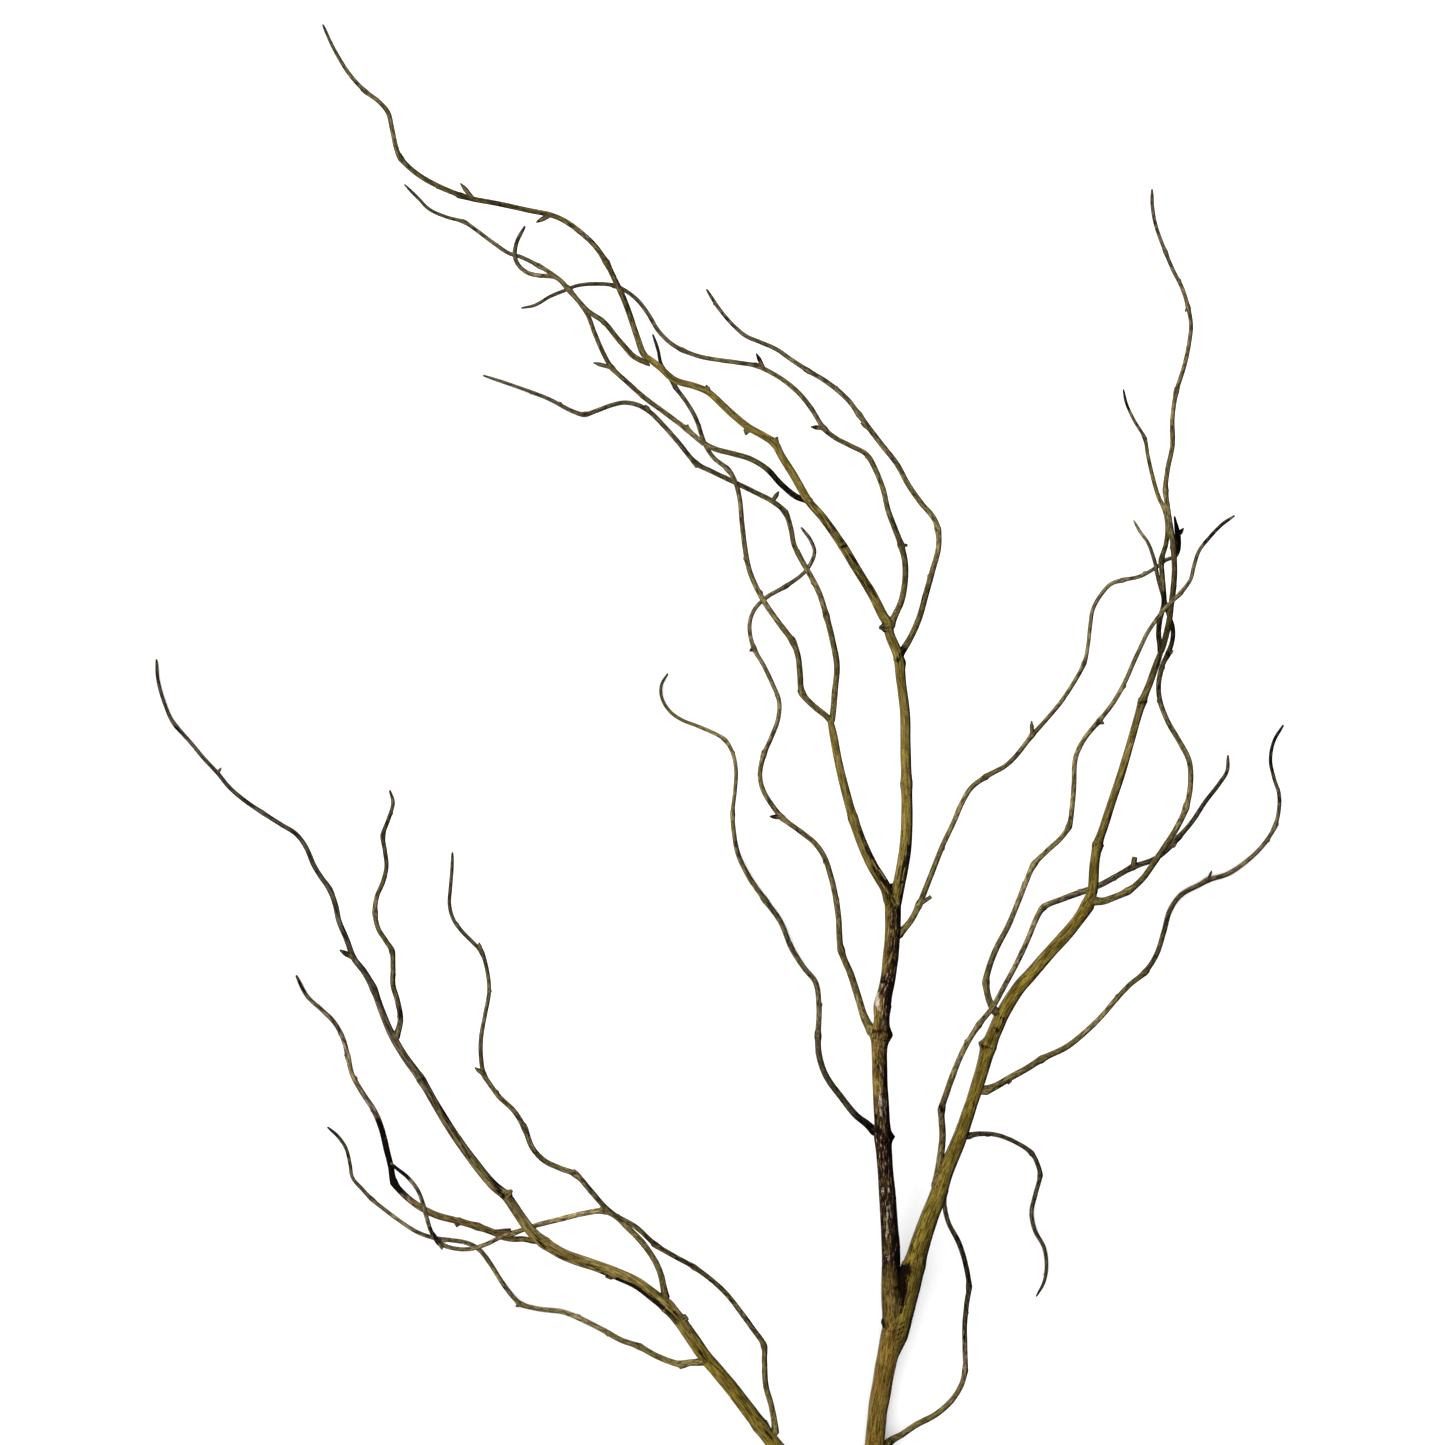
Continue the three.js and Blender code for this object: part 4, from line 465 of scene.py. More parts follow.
        stains=[[2.5, 9, 0.58], [12, 12.6, 0.6], [22, 22.7, 0.5], [24.6, 25, 0.6]]),
    "centre_hook_twig": dict(tone=[0.7, 0.55, 0.95, 0.75, 0.35], stains=[[15.6, 16, 0.5]]),
    "centre_long_twig": dict(tone=[0.3, 0.7, 0.6, 0.8, 0.6], stains=[[0, 3.9, 0.95], [28.8, 30, 0.5]]),
    "centre_inner_twig": dict(
        tone=[0.85, 0.6, 0.7, 0.5, 0.35], stains=[[27.8, 28.3, 0.4]],
        scars=[[896, 528, 892, 518, 1.6, 0.8]], sprout_dark=1, sprout_from=0.35),
    "centre_outer_twig": dict(
        tone=[0.5, 1.15, 0.8, 0.6, 0.4], stains=[[0, 1.6, 1]], scars=[[920, 605, 928, 585, 1.3, 0.7]]),
    "side_low_twig": dict(tone=[0.9, 0.75, 0.4, 0.5, 0.55], stains=[[11.3, 11.9, 0.4], [16.4, 17, 0.4]]),
    "side_inner_twig": dict(tone=[0.7, 0.85, 0.8, 0.75, 0.2], stains=[[19, 24, 0.25]]),
    "stem_upper_twig": dict(
        tone=[1.2, 0.6, 0.85, 1, 0.75], stains=[[12.8, 13.3, 0.6]], sprout_dark=1, sprout_from=0.3),
    "stem_lower_twig": dict(
        tone=[0.2, 0.65, 0.55, 1.15, 0.35], dusk=[0.9, 0.3, 0], stains=[[0, 3.2, 0.9], [13.1, 13.6, 0.4]]),
    "stem_right_twig": dict(
        tone=[1.15, 1, 0.8, 1.15, 0.25], stains=[[25.3, 28, 1.2], [3, 3.4, 0.4]], bumps=[[26.9, 0, 0.9, 9]],
        sprout_dark=0.3, sprout_from=0.1),
    "right_tip_twig": dict(
        tone=[0.25, 0.65, 0.95, 0.7, 0.4], dusk=[0.1, 0.1, 0.3, 0.8], stains=[[20, 21.6, 0.4]]),
    "right_short_twig": dict(
        tone=[0.35, 0.75, 0.85, 0.55, 0.4], dusk=[0.6, 0.1, 0],
        stains=[[0, 3.2, 0.75], [3.6, 5.2, 0.9], [6, 8.8, 0.6], [15.4, 17, 0.85]]),
    "right_bow_twig": dict(
        tone=[0.75, 0.8, 0.9, 0.15, 1.1], stains=[[17.4, 21, 0.6]],
        scars=[[1166, 652, 1170, 656, 1.8, 0.9], [1159, 687, 1163, 683, 1.6, 0.8]]),
    "right_inner_twig": dict(
        tone=[0.7, 1.1, 1.1, 0.85, 0.9], dusk=[0.3, 0.3, 0.3, 0.4, 1],
        stains=[[0, 0.8, 1.2], [1.2, 2.2, 0.5], [4.5, 4.9, 0.4], [17.4, 18.2, 0.7], [29.4, 31.6, 0.95]]),
    "right_crossing_twig": dict(
        tone=[0.9, 0.85, 1.25, 0.4, 0.35], stains=[[0, 0.5, 0.8], [15, 21.4, 0.42], [22, 26.6, 0.35]],
        kin=[[2, 4, 0.7], [9.5, 12, 0.7]],
        scars=[[939, 1106, 944, 1112, 2, 1], [1129, 868, 1137, 864, 1.6, 0.7]], sprout_dark=0.4),
    "right_outer_twig": dict(
        tone=[0.8, 1, 0.35, 0.9, 0.15], stains=[[22.2, 23.2, 0.6], [24.3, 26.4, 0.8]], kin=[[0, 4, 0.3]],
        scars=[[999, 1087, 1003, 1085.5, 1.8, 1], [1005, 1083.5, 1008, 1082, 1.6, 0.9]], sprout_dark=0.9,
        sprout_from=0.1),
    "right_curl_twig": dict(tone=[0.4, 0.55, 0.45, 0.3, 0.35], dusk=[0.7, 0.7, 0.6]),
    "trunk_bow_twig": dict(
        tone=[0.7, 1.1, 0.75, 0.3, 0.75], dusk=[0, 0.1, 0.3, 0.6], stains=[[0, 3, 0.66], [8.6, 14.5, 0.74]],
        kin=[[7.5, 16, 0.9]], scars=[[888, 1446.5, 901, 1438.5, 1.2, 1], [903, 1437, 917, 1428, 1, 0.9]]),
    "left_arch_twig": dict(
        tone=[1, 0.75, 0.65, 0.55, 0.32], stains=[[5.4, 12.6, 0.66], [12.6, 16.5, 0.5], [18, 22, 0.5]],
        scars=[[573, 1174, 579, 1172, 1.8, 0.9]]),
    "left_loop_twig": dict(
        tone=[0.45, 1.35, 1.35, 0.8, 0.8], stains=[[22.7, 25, 1.2], [16.6, 17.2, 0.3], [18.6, 20.6, 0.4]],
        scars=[[430, 1229, 441, 1247, 2.4, 1]], bumps=[[18.2, 180, 0.5, 2.4], [18.7, 0, 0.6, 2.2]]),
    "left_low_twig": dict(
        tone=[1, 0.95, 0.95, 0.9, 0.1], stains=[[17.2, 18, 0.5], [28.5, 29, 0.5]],
        scars=[[434, 1237, 440, 1238, 1.8, 0.7]]),
    "left_under_twig": dict(
        tone=[0.85, 1.1, 1, 1.5, 0.25], stains=[[10.1, 14.6, 1.3], [22.2, 23, 0.6]],
        kin=[[0, 9.6, 1.8], [16, 23, 1]], scars=[[541, 1245, 516, 1243, 2, 0.9]], sprout_dark=0.25,
        sprout_kin=1),
    "left_upright_twig": dict(
        tone=[0.75, 0.85, 0.7, 0.35, 0.4], dusk=[0.6, 0.3, 0.6], stains=[[2, 2.9, 0.8]]),
}

# The smooth line of a shoot
ROUTE_STEPS = 30  # steps between two points of a route
TRAVEL_STEP = 0.4 * MILLIMETRE  # how far ahead and behind its direction is read
WAVES = (0.6, 1.0, 1.7)  # lengths of the waves that make up a drift, against the one given
UP = np.array([0.0, 0.0, 1.0])

# Leaf nodes and the rings of the bark
TWIG_NODE_GAP = 27 * MILLIMETRE  # between two leaf nodes
LIMB_NODE_GAP = 58 * MILLIMETRE
FIRST_NODE = (0.5, 0.9)  # from the root to the first one, against that gap
NODE_SCATTER = (0.75, 1.25)  # from one to the next
NODE_ROOM = 0.4  # that it keeps from a knot
TIP_ROOM = 0.25  # that it keeps from the tip
LEAF_TURN = math.radians(144)  # round the shoot from one to the next
TURN_SCATTER = 0.3  # how far that turn strays, radians
NODE_STRENGTH = (0.5, 1.0)
KNOT_STRENGTH = 1.25
KNOT_STRAY = 0.6  # how far a knot's leaf node strays from the flank, radians
RING_STEP = 0.85 * MILLIMETRE  # between two rings of the bark
NODE_RINGS = (-0.5, 0.0, 0.45, 0.95)  # rings at a leaf node, mm beyond it
NODE_MIDDLE = 0.2 * MILLIMETRE  # about the middle of those rings
RING_ROOM = 1.1 * MILLIMETRE  # that the other rings keep from there

# Thickness along a shoot
PARENT_PLACE = 0.6  # where along the parent its thickness is taken, as a share
FLARE = 0.5  # extra thickness where a shoot leaves its parent
FLARE_REACH = 4.6 * MILLIMETRE  # how far that thickness fades out along the shoot
FLARE_POWER = 1.3  # how sharply it fades
HIDDEN_SHARE = 0.3  # thickness of its very start, inside the parent
HIDDEN_REACH = 1.25  # how far in the full thickness is reached, against the parent's half thickness
FORK_REACH = 3.5 * MILLIMETRE  # the same for a twig that carries its parent on
TWIG_KNOT_SWELL = 0.2  # extra thickness at a knot
LIMB_KNOT_SWELL = 0.13
KNOT_REACH = 1.6 * MILLIMETRE  # how far a knot reaches along the shoot
KNOT_SPREAD = 0.8  # and what the half thickness adds to that
ROOT_REACH = 5 * MILLIMETRE  # how far a limb that carries its parent on starts inside it
ROOT_SHARE = 0.6  # its thickness there
END_SHARE = 0.74  # thickness at an end inside the shoots that carry it on
END_REACH = 12 * MILLIMETRE
TIP_SHARE = 0.62  # thickness at the very tip, against the thickness given for it
TIP_REACH = 9 * MILLIMETRE

# How far the bark stands out, in radii of the shoot
SWAY = 0.022  # how far the thickness drifts
SWAY_WAVE = 34 * MILLIMETRE  # and over what length
OVAL = 0.02  # how far a shoot is from round
OVAL_WAVE = 90 * MILLIMETRE
RIDGE_COUNTS = (3, 5, 8, 11)  # lengthwise ridges round a shoot
TWIG_RIDGE = 0.016  # height of each set of ridges
LIMB_RIDGE = 0.0125
RIDGE_MEAN = 0.75  # their height on average, against that
RIDGE_DRIFT = 0.5  # how far it drifts from there
RIDGE_WAVE = 40 * MILLIMETRE
RIDGE_WIND = 1.6  # how far they wind round the shoot, radians
WIND_WAVE = 70 * MILLIMETRE
STEP_SWELL = 0.085  # extra thickness just below a leaf node
STEP_RISE = 5 * MILLIMETRE  # over which that thickness grows
STEP_FALL = 0.75 * MILLIMETRE  # over which it drops again
TWIG_STEP = (0.3, 1.0)  # how much of it goes all round, and how much lies on the leaf's side
LIMB_STEP = (0.15, 0.5)
LEAF_SCAR = 0.03  # depth of the hollow beyond a leaf node
LEAF_SCAR_PLACE = 1.1 * MILLIMETRE
LEAF_SCAR_REACH = 0.7 * MILLIMETRE
FOLD_LENGTH = 1.7 * MILLIMETRE  # from one fold of the bark to the next
FOLD_HEIGHT = 0.035
FOLD_MEAN = 0.6  # their height on average, against the highest
FOLD_SIDE = 0.6  # which way round they are highest, radians
FOLD_BEND = 1.5  # how far they bend round the shoot, radians
FOLD_EDGE = 3 * MILLIMETRE  # over which they fade out

# How strong the marks of the bark are, and which sides get painted light and painted shade
SPAN_EDGE = 5 * MILLIMETRE  # over which a stretch fades out
STROKE_START = 1.5  # strength of a stroke on its line, before it is held at 1
STROKE_FALL = 0.75  # what it loses over one reach
STROKE_TURN = 3  # how soon it is gone on a side that faces down
TWIG_NODE_STAIN = 0.8
LIMB_NODE_STAIN = 0.45
NODE_STAIN_REACH = 1.0 * MILLIMETRE
NODE_WEAR = 0.3
NODE_WEAR_REACH = 0.6 * MILLIMETRE
LEE_SIDE = np.array([0.6, -0.38, -0.6])  # the way the side with painted shade faces, away from the key light
LEE_RANGE = (-0.34, 0.46)  # how far a side faces that way where its painted shade starts and is full
LIT_SIDE = np.array([-0.8, 0.5, -0.15])  # the way the lit side faces, greyed as a painted sheen
LIT_RANGE = (0.6, 0.95)
FLANK_TONE = 0.66  # how light the flanks are, against the side that faces up: painted shade
FLANK_GAIN = 1.5  # how soon the bark gets lighter as it turns up
FLANK_START = 0.1  # share of that lightness on a flank that faces level
LEE_WAY = np.array([0.84, -0.54, 0.0])  # level, towards the side with painted shade
LEE_FALL = 0.33  # painted shade: how much darker the bark is on that side
LEE_REACH = 0.55  # how far it has to face that way
LEE_START = 0.15  # share of that darkening on bark that faces up
LIT_LIFT = 0.12  # painted light: how much lighter it is on the other side
LIT_REACH = 0.5
LIMB_DUSK = [0, 0]
TWIG_DUSK = [0, 0.2, 0.35, 0.55, 0.75]  # how far a twig's bark turns greyer and darker along it

# Ends
EDGE_SHARES = (0.92, 0.7, 0.38)  # rings that round off a tip, in radii
CUT_SHARES = (0.0, 0.16, 0.34, 0.52, 0.7, 0.86, 0.95)  # rings of a cut face, in radii
SAW_DEPTH = 0.1 * MILLIMETRE  # how uneven the sawn face is
SAW_WAVE = 9
SAW_EDGE = 0.35 * MILLIMETRE  # how far behind the face its edge lies
SAW_ROOM = 0.3 * MILLIMETRE  # from there to the next ring
CUT_DEPTH = 0.2 * MILLIMETRE  # how uneven the face of an old cut is
CUT_WAVE = 4
SEAM_GAP = 1e-6  # points of a sheet that are closer than this become one
SMOOTH_ANGLE = math.radians(55)  # faces that meet at less than this look like one surface

# Spurs and cut stubs
SPUR_SIDES = 9
SPUR_RINGS = 5  # at least
SPUR_SHARE = 0.92  # a spur's base, against the shoot that carries it
SPUR_POINT = 0.42  # a spur's tip, against its base
STUB_POINT = 0.92  # a cut stub's end, against its base
STUB_NUMBER = 10  # added to a stub's number, so that no spur has the same
SPUR_BENDS = (0.4, 0.75)  # places along it that arch up
SPUR_ARCH = 0.06  # how far, against its length
SPUR_TAPER = 2.2  # how late it gets thinner
SPUR_SWELL = 0.26  # extra thickness of its bud
STUB_SWELL = 0.2  # how much of that a stub has
SWELL_PLACE = 0.66
SWELL_REACH = 0.24
SPUR_RIDGES = 3
SPUR_RIDGE = 0.03
SPUR_SWAY = 0.04
SPUR_WAVE = 5 * MILLIMETRE
SPUR_DARK = 0.9  # how dark its end is
SPUR_DARK_FROM = 0.6
SPUR_DARK_GAIN = 4  # how soon it gets dark
SPUR_KIN = 0.3
SPUR_WEAR = 0.1
SPUR_TONE = 0.8
SPUR_DUSK = 0.3

# Buds
BUD_SIDES = 7
BUD_RINGS = 6
BUD_WIDTHS = (0.52, 0.4, 1)  # away from the shoot, across it and along it, against its length
BUD_NECK = 0.7  # from where its tip is drawn in
BUD_TIP_WIDTHS = (0.55, 0.55, 1)
BUD_TIP_MOVE = (0.05, 0, 0.08)
BUD_LENGTH = 3.0 * MILLIMETRE
BUD_SCATTER = (0.7, 1.15)
BUD_TWIG = 1.7 * MILLIMETRE  # half thickness from which a twig's buds have their full length
BUD_LOST = 0.25  # share of the leaf nodes without one
BUD_ROOM = 3 * MILLIMETRE  # that a bud keeps from the tip
BUD_LEAN = (0.97, 0.24)  # how far it points along the shoot and away from it
BUD_FOOT = 0.86  # how far out its base lies, in radii
BUD_DARK = 0.8
BUD_KIN = 0.4
BUD_SIDE = 0.6
BUD_TONE = 0.8
BUD_DUSK = 0.4


def along(values, share):
    """A value read along an evenly spaced list, at shares of 0 to 1."""
    return np.interp(share, np.linspace(0, 1, len(values)), values)


def share_between(values, low, high):
    """How far values lie from low to high, held at 0 and 1."""
    return np.clip((values - low) / (high - low), 0, 1)


def placed(across, down, height):
    """A point of the picture at a real height."""
    reach = SIGHT_SCALE * (1 - height / EYE_HEIGHT)
    x = MIDDLE_X + (across - SIGHT_MIDDLE[0]) * reach
    y = MIDDLE_Y + (SIGHT_MIDDLE[1] - down) * reach
    return np.array([x, y, height])


def seen(points):
    """Where real points lie in the picture, across and down."""
    reach = SIGHT_SCALE * (1 - points[:, 2] / EYE_HEIGHT)
    across = SIGHT_MIDDLE[0] + (points[:, 0] - MIDDLE_X) / reach
    down = SIGHT_MIDDLE[1] - (points[:, 1] - MIDDLE_Y) / reach
    return across, down


def unit(vectors):
    """The same directions, each one long."""
    return vectors / np.linalg.norm(vectors, axis=-1, keepdims=True)


def route_shares(route):
    """How far along the route each of its points lies, as a share of the whole."""
    flat = np.array(route)[:, :2]
    steps = np.linalg.norm(np.diff(flat, axis=0), axis=1)
    reached = np.concatenate([[0], np.cumsum(steps)])
    return reached / reached[-1]


def smooth_line(points):
    """The smooth line through points, with how far along it each sample and each point lies."""
    points = np.array(points)
    before = 2 * points[0] - points[1]
    after = 2 * points[-1] - points[-2]
    held = np.vstack([before, points, after])
    samples = [points[0]]
    step = np.linspace(0, 1, ROUTE_STEPS + 1)[1:, None]
    for i in range(len(points) - 1):
        p0, p1, p2, p3 = held[i:i + 4]
        d0, d1, d2 = [np.linalg.norm(b - a) ** 0.5 for a, b in ((p0, p1), (p1, p2), (p2, p3))]
        leave = ((p1 - p0) / d0 - (p2 - p0) / (d0 + d1) + (p2 - p1) / d1) * d1
        arrive = ((p2 - p1) / d1 - (p3 - p1) / (d1 + d2) + (p3 - p2) / d2) * d1
        square = -3 * p1 + 3 * p2 - 2 * leave - arrive
        cube = 2 * p1 - 2 * p2 + leave + arrive
        samples.extend(p1 + leave * step + square * step ** 2 + cube * step ** 3)
    samples = np.array(samples)
    reached = np.concatenate([[0], np.cumsum(np.linalg.norm(np.diff(samples, axis=0), axis=1))])
    marks = reached[::ROUTE_STEPS]
    return {"points": samples, "reached": reached, "length": reached[-1], "marks": marks}


def points_at(line, places):
    """The points of a smooth line at places along it."""
    parts = [np.interp(places, line["reached"], line["points"][:, axis]) for axis in range(3)]
    return np.stack(parts, axis=1)


def stations(line, places):
    """Points, travel, right and above on a smooth line, and straight on beyond its ends."""
    inside = np.clip(places, 0, line["length"])
    ahead = np.clip(inside + TRAVEL_STEP, 0, line["length"])
    behind = np.clip(inside - TRAVEL_STEP, 0, line["length"])
    travel = unit(points_at(line, ahead) - points_at(line, behind))
    points = points_at(line, inside) + travel * (places - inside)[:, None]
    right = unit(np.cross(travel, UP))
    above = np.cross(right, travel)
    return points, travel, right, above


def wander(chance, places, wave):
    """A value that drifts smoothly between about -1 and 1 along a shoot."""
    total = np.zeros_like(places)
    for share in WAVES:
        total += np.sin(2 * math.pi * places / (wave * share) + chance.uniform(0, 2 * math.pi))
    return total / len(WAVES)


def window(places, start, end, edge):
    """1 between start and end, fading out over the edge."""
    rise = np.clip((places - start) / edge + 0.5, 0, 1)
    fall = np.clip((end - places) / edge + 0.5, 0, 1)
    return np.minimum(rise, fall)


def bump(places, middle, reach):
    """A smooth rise round one place."""
    return np.exp(-((places - middle) / reach) ** 2)


def facing_side(turn, side):
    """1 on the side of a shoot that a leaf stood on, falling to 0 on the other."""
    return (0.5 + 0.5 * np.cos(turn - side)) ** 2


def shoot_line(shoot):
    """The middle line of a shoot, its underside at the given lifts."""
    shares = route_shares(shoot["route"])
    radii = along(shoot["thick"], shares) / 2
    points = []
    for (across, down, lift), radius in zip(shoot["route"], radii):
        points.append(placed(across, down, (lift + radius) * MILLIMETRE))
    return smooth_line(points)


def place_of(line, number):
    """How far along the line a place in the route lies; the number may have a fraction."""
    return np.interp(number, np.arange(len(line["marks"])), line["marks"])


def leaf_nodes(shoot, line, chance):
    """The leaf nodes of a shoot: how far along, which way round, and how strong."""
    gap = LIMB_NODE_GAP if "sides" in shoot else TWIG_NODE_GAP
    nodes = []
    knots = [place_of(line, number) for number in shoot.get("knots", [])]
    place = gap * chance.uniform(*FIRST_NODE)
    turn = chance.uniform(0, 2 * math.pi)
    while place < line["length"] - gap * TIP_ROOM:
        if all(abs(place - knot) > gap * NODE_ROOM for knot in knots):
            nodes.append((place, turn, chance.uniform(*NODE_STRENGTH)))
        place += gap * chance.uniform(*NODE_SCATTER)
        turn += LEAF_TURN + chance.uniform(-TURN_SCATTER, TURN_SCATTER)
    for knot in knots:
        side = chance.uniform(-KNOT_STRAY, KNOT_STRAY) + math.pi * chance.randint(0, 1)
        nodes.append((knot, side, KNOT_STRENGTH))
    return sorted(nodes)


def ring_places(line, start, nodes):
    """Where the rings of the bark lie: evenly, and closer round each leaf node."""
    count = int((line["length"] - start) / RING_STEP)
    places = list(np.linspace(start, line["length"], count + 1))
    offsets = np.array(NODE_RINGS) * MILLIMETRE
    for node, _, _ in nodes:
        places = [place for place in places if abs(place - node - NODE_MIDDLE) > RING_ROOM]
        places.extend(offsets + node)
    inside = [place for place in places if start <= place <= line["length"]]
    return np.array(sorted(set(inside + [start, line["length"]])))


def root_reach(shoot):
    """How far a limb that carries its parent on starts inside it."""
    return shoot["hidden"] * MILLIMETRE if "hidden" in shoot else ROOT_REACH


def shoot_radii(shoot, line, places, parent_radius):
    """The half thickness of a shoot along it, with its collar, knots and tip."""
    radii = along(shoot["thick"], places / line["length"]) / 2 * MILLIMETRE
    swell = np.ones_like(places)
    if shoot["parent"] and not shoot.get("straight_on"):
        beyond = np.maximum(places - parent_radius, 0)
        swell += FLARE * np.exp(-((beyond / FLARE_REACH) ** FLARE_POWER))
        swell *= 1 - (1 - HIDDEN_SHARE) * np.clip(1 - places / (HIDDEN_REACH * parent_radius), 0, 1)
    elif shoot["parent"] and "sides" not in shoot:
        swell *= 1 - (1 - HIDDEN_SHARE) * np.clip(1 - places / FORK_REACH, 0, 1)
    knot_swell = LIMB_KNOT_SWELL if "sides" in shoot else TWIG_KNOT_SWELL
    for number in shoot.get("knots", []):
        reach = radii.mean() * KNOT_SPREAD + KNOT_REACH
        swell += knot_swell * bump(places, place_of(line, number), reach)
    swell *= 1 - (1 - ROOT_SHARE) * np.clip(-places / root_reach(shoot), 0, 1)
    share, reach = (END_SHARE, END_REACH) if shoot.get("dome") else (TIP_SHARE, TIP_REACH)
    share = shoot.get("crown", share)
    near_end = np.clip((places - line["length"]) / reach + 1, 0, 1)
    return radii * swell * (1 - (1 - share) * near_end ** 2)


def ridge_relief(shoot, chance, place, turn):
    """How the thickness drifts, and the lengthwise ridges that wind round a shoot."""
    ridge = LIMB_RIDGE if "sides" in shoot else TWIG_RIDGE
    relief = SWAY * wander(chance, place, SWAY_WAVE)
    relief += OVAL * np.cos(2 * turn + 2 * wander(chance, place, OVAL_WAVE))
    for count in RIDGE_COUNTS:
        phase = chance.uniform(0, 2 * math.pi) + RIDGE_WIND * wander(chance, place, WIND_WAVE)
        height = ridge * (RIDGE_MEAN + RIDGE_DRIFT * wander(chance, place, RIDGE_WAVE))
        relief += height * np.cos(count * turn + phase)
    return relief


def step_at(distance):
    """The rise of the bark up to a place along a shoot and its drop beyond it."""
    return np.exp(-np.abs(distance) / np.where(distance < 0, STEP_RISE, STEP_FALL))


def node_relief(shoot, nodes, place, turn):
    """The steps of the bark at the leaf nodes, each with the hollow of its leaf's scar."""
    all_round, leaf_side = LIMB_STEP if "sides" in shoot else TWIG_STEP
    relief = np.zeros_like(place)
    for node, side, strength in nodes:
        facing = facing_side(turn, side)
        relief += STEP_SWELL * strength * step_at(place - node) * (all_round + leaf_side * facing)
        relief -= LEAF_SCAR * strength * facing * bump(place, node + LEAF_SCAR_PLACE, LEAF_SCAR_REACH)
    return relief


def own_relief(shoot, line, place, turn):
    """The bumps, lips and folds that only some shoots have."""
    looks = MARKS[shoot["name"]]
    relief = np.zeros_like(place)
    radius = np.interp(place, [0, line["length"]], [shoot["thick"][0], shoot["thick"][-1]]) / 2
    for number, degrees, height, reach in looks.get("bumps", []):
        facing = np.exp((np.cos(turn - math.radians(degrees)) - 1) * (radius / reach) ** 2 * 2)
        relief += height / radius * bump(place, place_of(line, number), reach * MILLIMETRE) * facing
    for number, height in looks.get("lips", []):
        relief += height / radius * step_at(place - place_of(line, number))
    for start, end in looks.get("folds", []):
        span = window(place, place_of(line, start), place_of(line, end), FOLD_EDGE)
        fold = np.cos(2 * math.pi * place / FOLD_LENGTH + FOLD_BEND * np.cos(turn))
        height = FOLD_MEAN + (1 - FOLD_MEAN) * np.cos(turn - FOLD_SIDE)
        relief += FOLD_HEIGHT * span * fold * height
    return relief


def span_mask(line, spans, place):
    """How strong the stretches in a list are at each place along a shoot."""
    mask = np.zeros_like(place)
    for start, end, strength in spans:
        first = place_of(line, start) if start > 0 else -line["length"]
        span = window(place, first, place_of(line, end), SPAN_EDGE)
        mask = np.maximum(mask, strength * span)
    return mask


def stroke_mask(strokes, points, facing_up):
    """How strong the strokes in a list are at each point, on the side that faces up."""
    across, down = seen(points)
    mask = np.zeros(len(points))
    for start_across, start_down, end_across, end_down, reach, strength in strokes:
        run_across = end_across - start_across
        run_down = end_down - start_down
        along_run = (across - start_across) * run_across + (down - start_down) * run_down
        share = np.clip(along_run / max(run_across ** 2 + run_down ** 2, 1), 0, 1)
        far_across = across - start_across - share * run_across
        far_down = down - start_down - share * run_down
        far = np.hypot(far_across, far_down)
        mask = np.maximum(mask, strength * np.clip(STROKE_START - STROKE_FALL * far / reach, 0, 1))
    return mask * np.clip(facing_up * STROKE_TURN + 1, 0, 1)


def shoot_marks(shoot, line, nodes, place, turn, points, outward):
    """The marks of the bark: stain, second colour, bare wood, and the side that the painted light and shade
    follow.
    """
    looks = MARKS[shoot["name"]]
    kinds = []
    for spans, strokes in (("stains", "scars"), ("kin", "skins"), ("bare", "flecks")):
        stretches = span_mask(line, looks.get(spans, []), place)
        kinds.append(np.maximum(stretches, stroke_mask(looks.get(strokes, []), points, outward[:, 2])))
    stain, kin, bare = kinds
    node_stain = LIMB_NODE_STAIN if "sides" in shoot else TWIG_NODE_STAIN
    for node, side, strength in nodes:
        facing = facing_side(turn, side)
        past = bump(place, node + NODE_STAIN_REACH, NODE_STAIN_REACH)
        worn = bump(place, node, NODE_WEAR_REACH)
        stain = np.maximum(stain, node_stain * strength * past * facing)
        bare = np.maximum(bare, NODE_WEAR * strength * facing * worn)
    return np.stack([stain, kin, bare, side_of(outward, looks.get("painted_shade", 1))], axis=1)


def side_of(outward, painted_shade=1):
    """Which side of the branch the bark faces: 0 lit, with a painted greyish sheen, 0.5 upwards, 1 with
    painted shade.
    """
    lee = share_between(outward @ unit(LEE_SIDE), *LEE_RANGE)
    lit = share_between(outward @ unit(LIT_SIDE), *LIT_RANGE)
    return 0.5 + 0.5 * painted_shade * lee - 0.5 * lit


def dress(mesh, bark_place, marks, tone, dusk):
    """What the bark's material reads at each point of a mesh."""
    layers = (
        ("bark_place", "FLOAT_VECTOR", "vector", bark_place),
        ("marks", "FLOAT_COLOR", "color", marks),
        ("tone", "FLOAT", "value", tone),
        ("dusk", "FLOAT", "value", dusk),
    )
    for name, kind, key, values in layers:
        mesh.attributes.new(name, kind, "POINT").data.foreach_set(key, values.ravel())


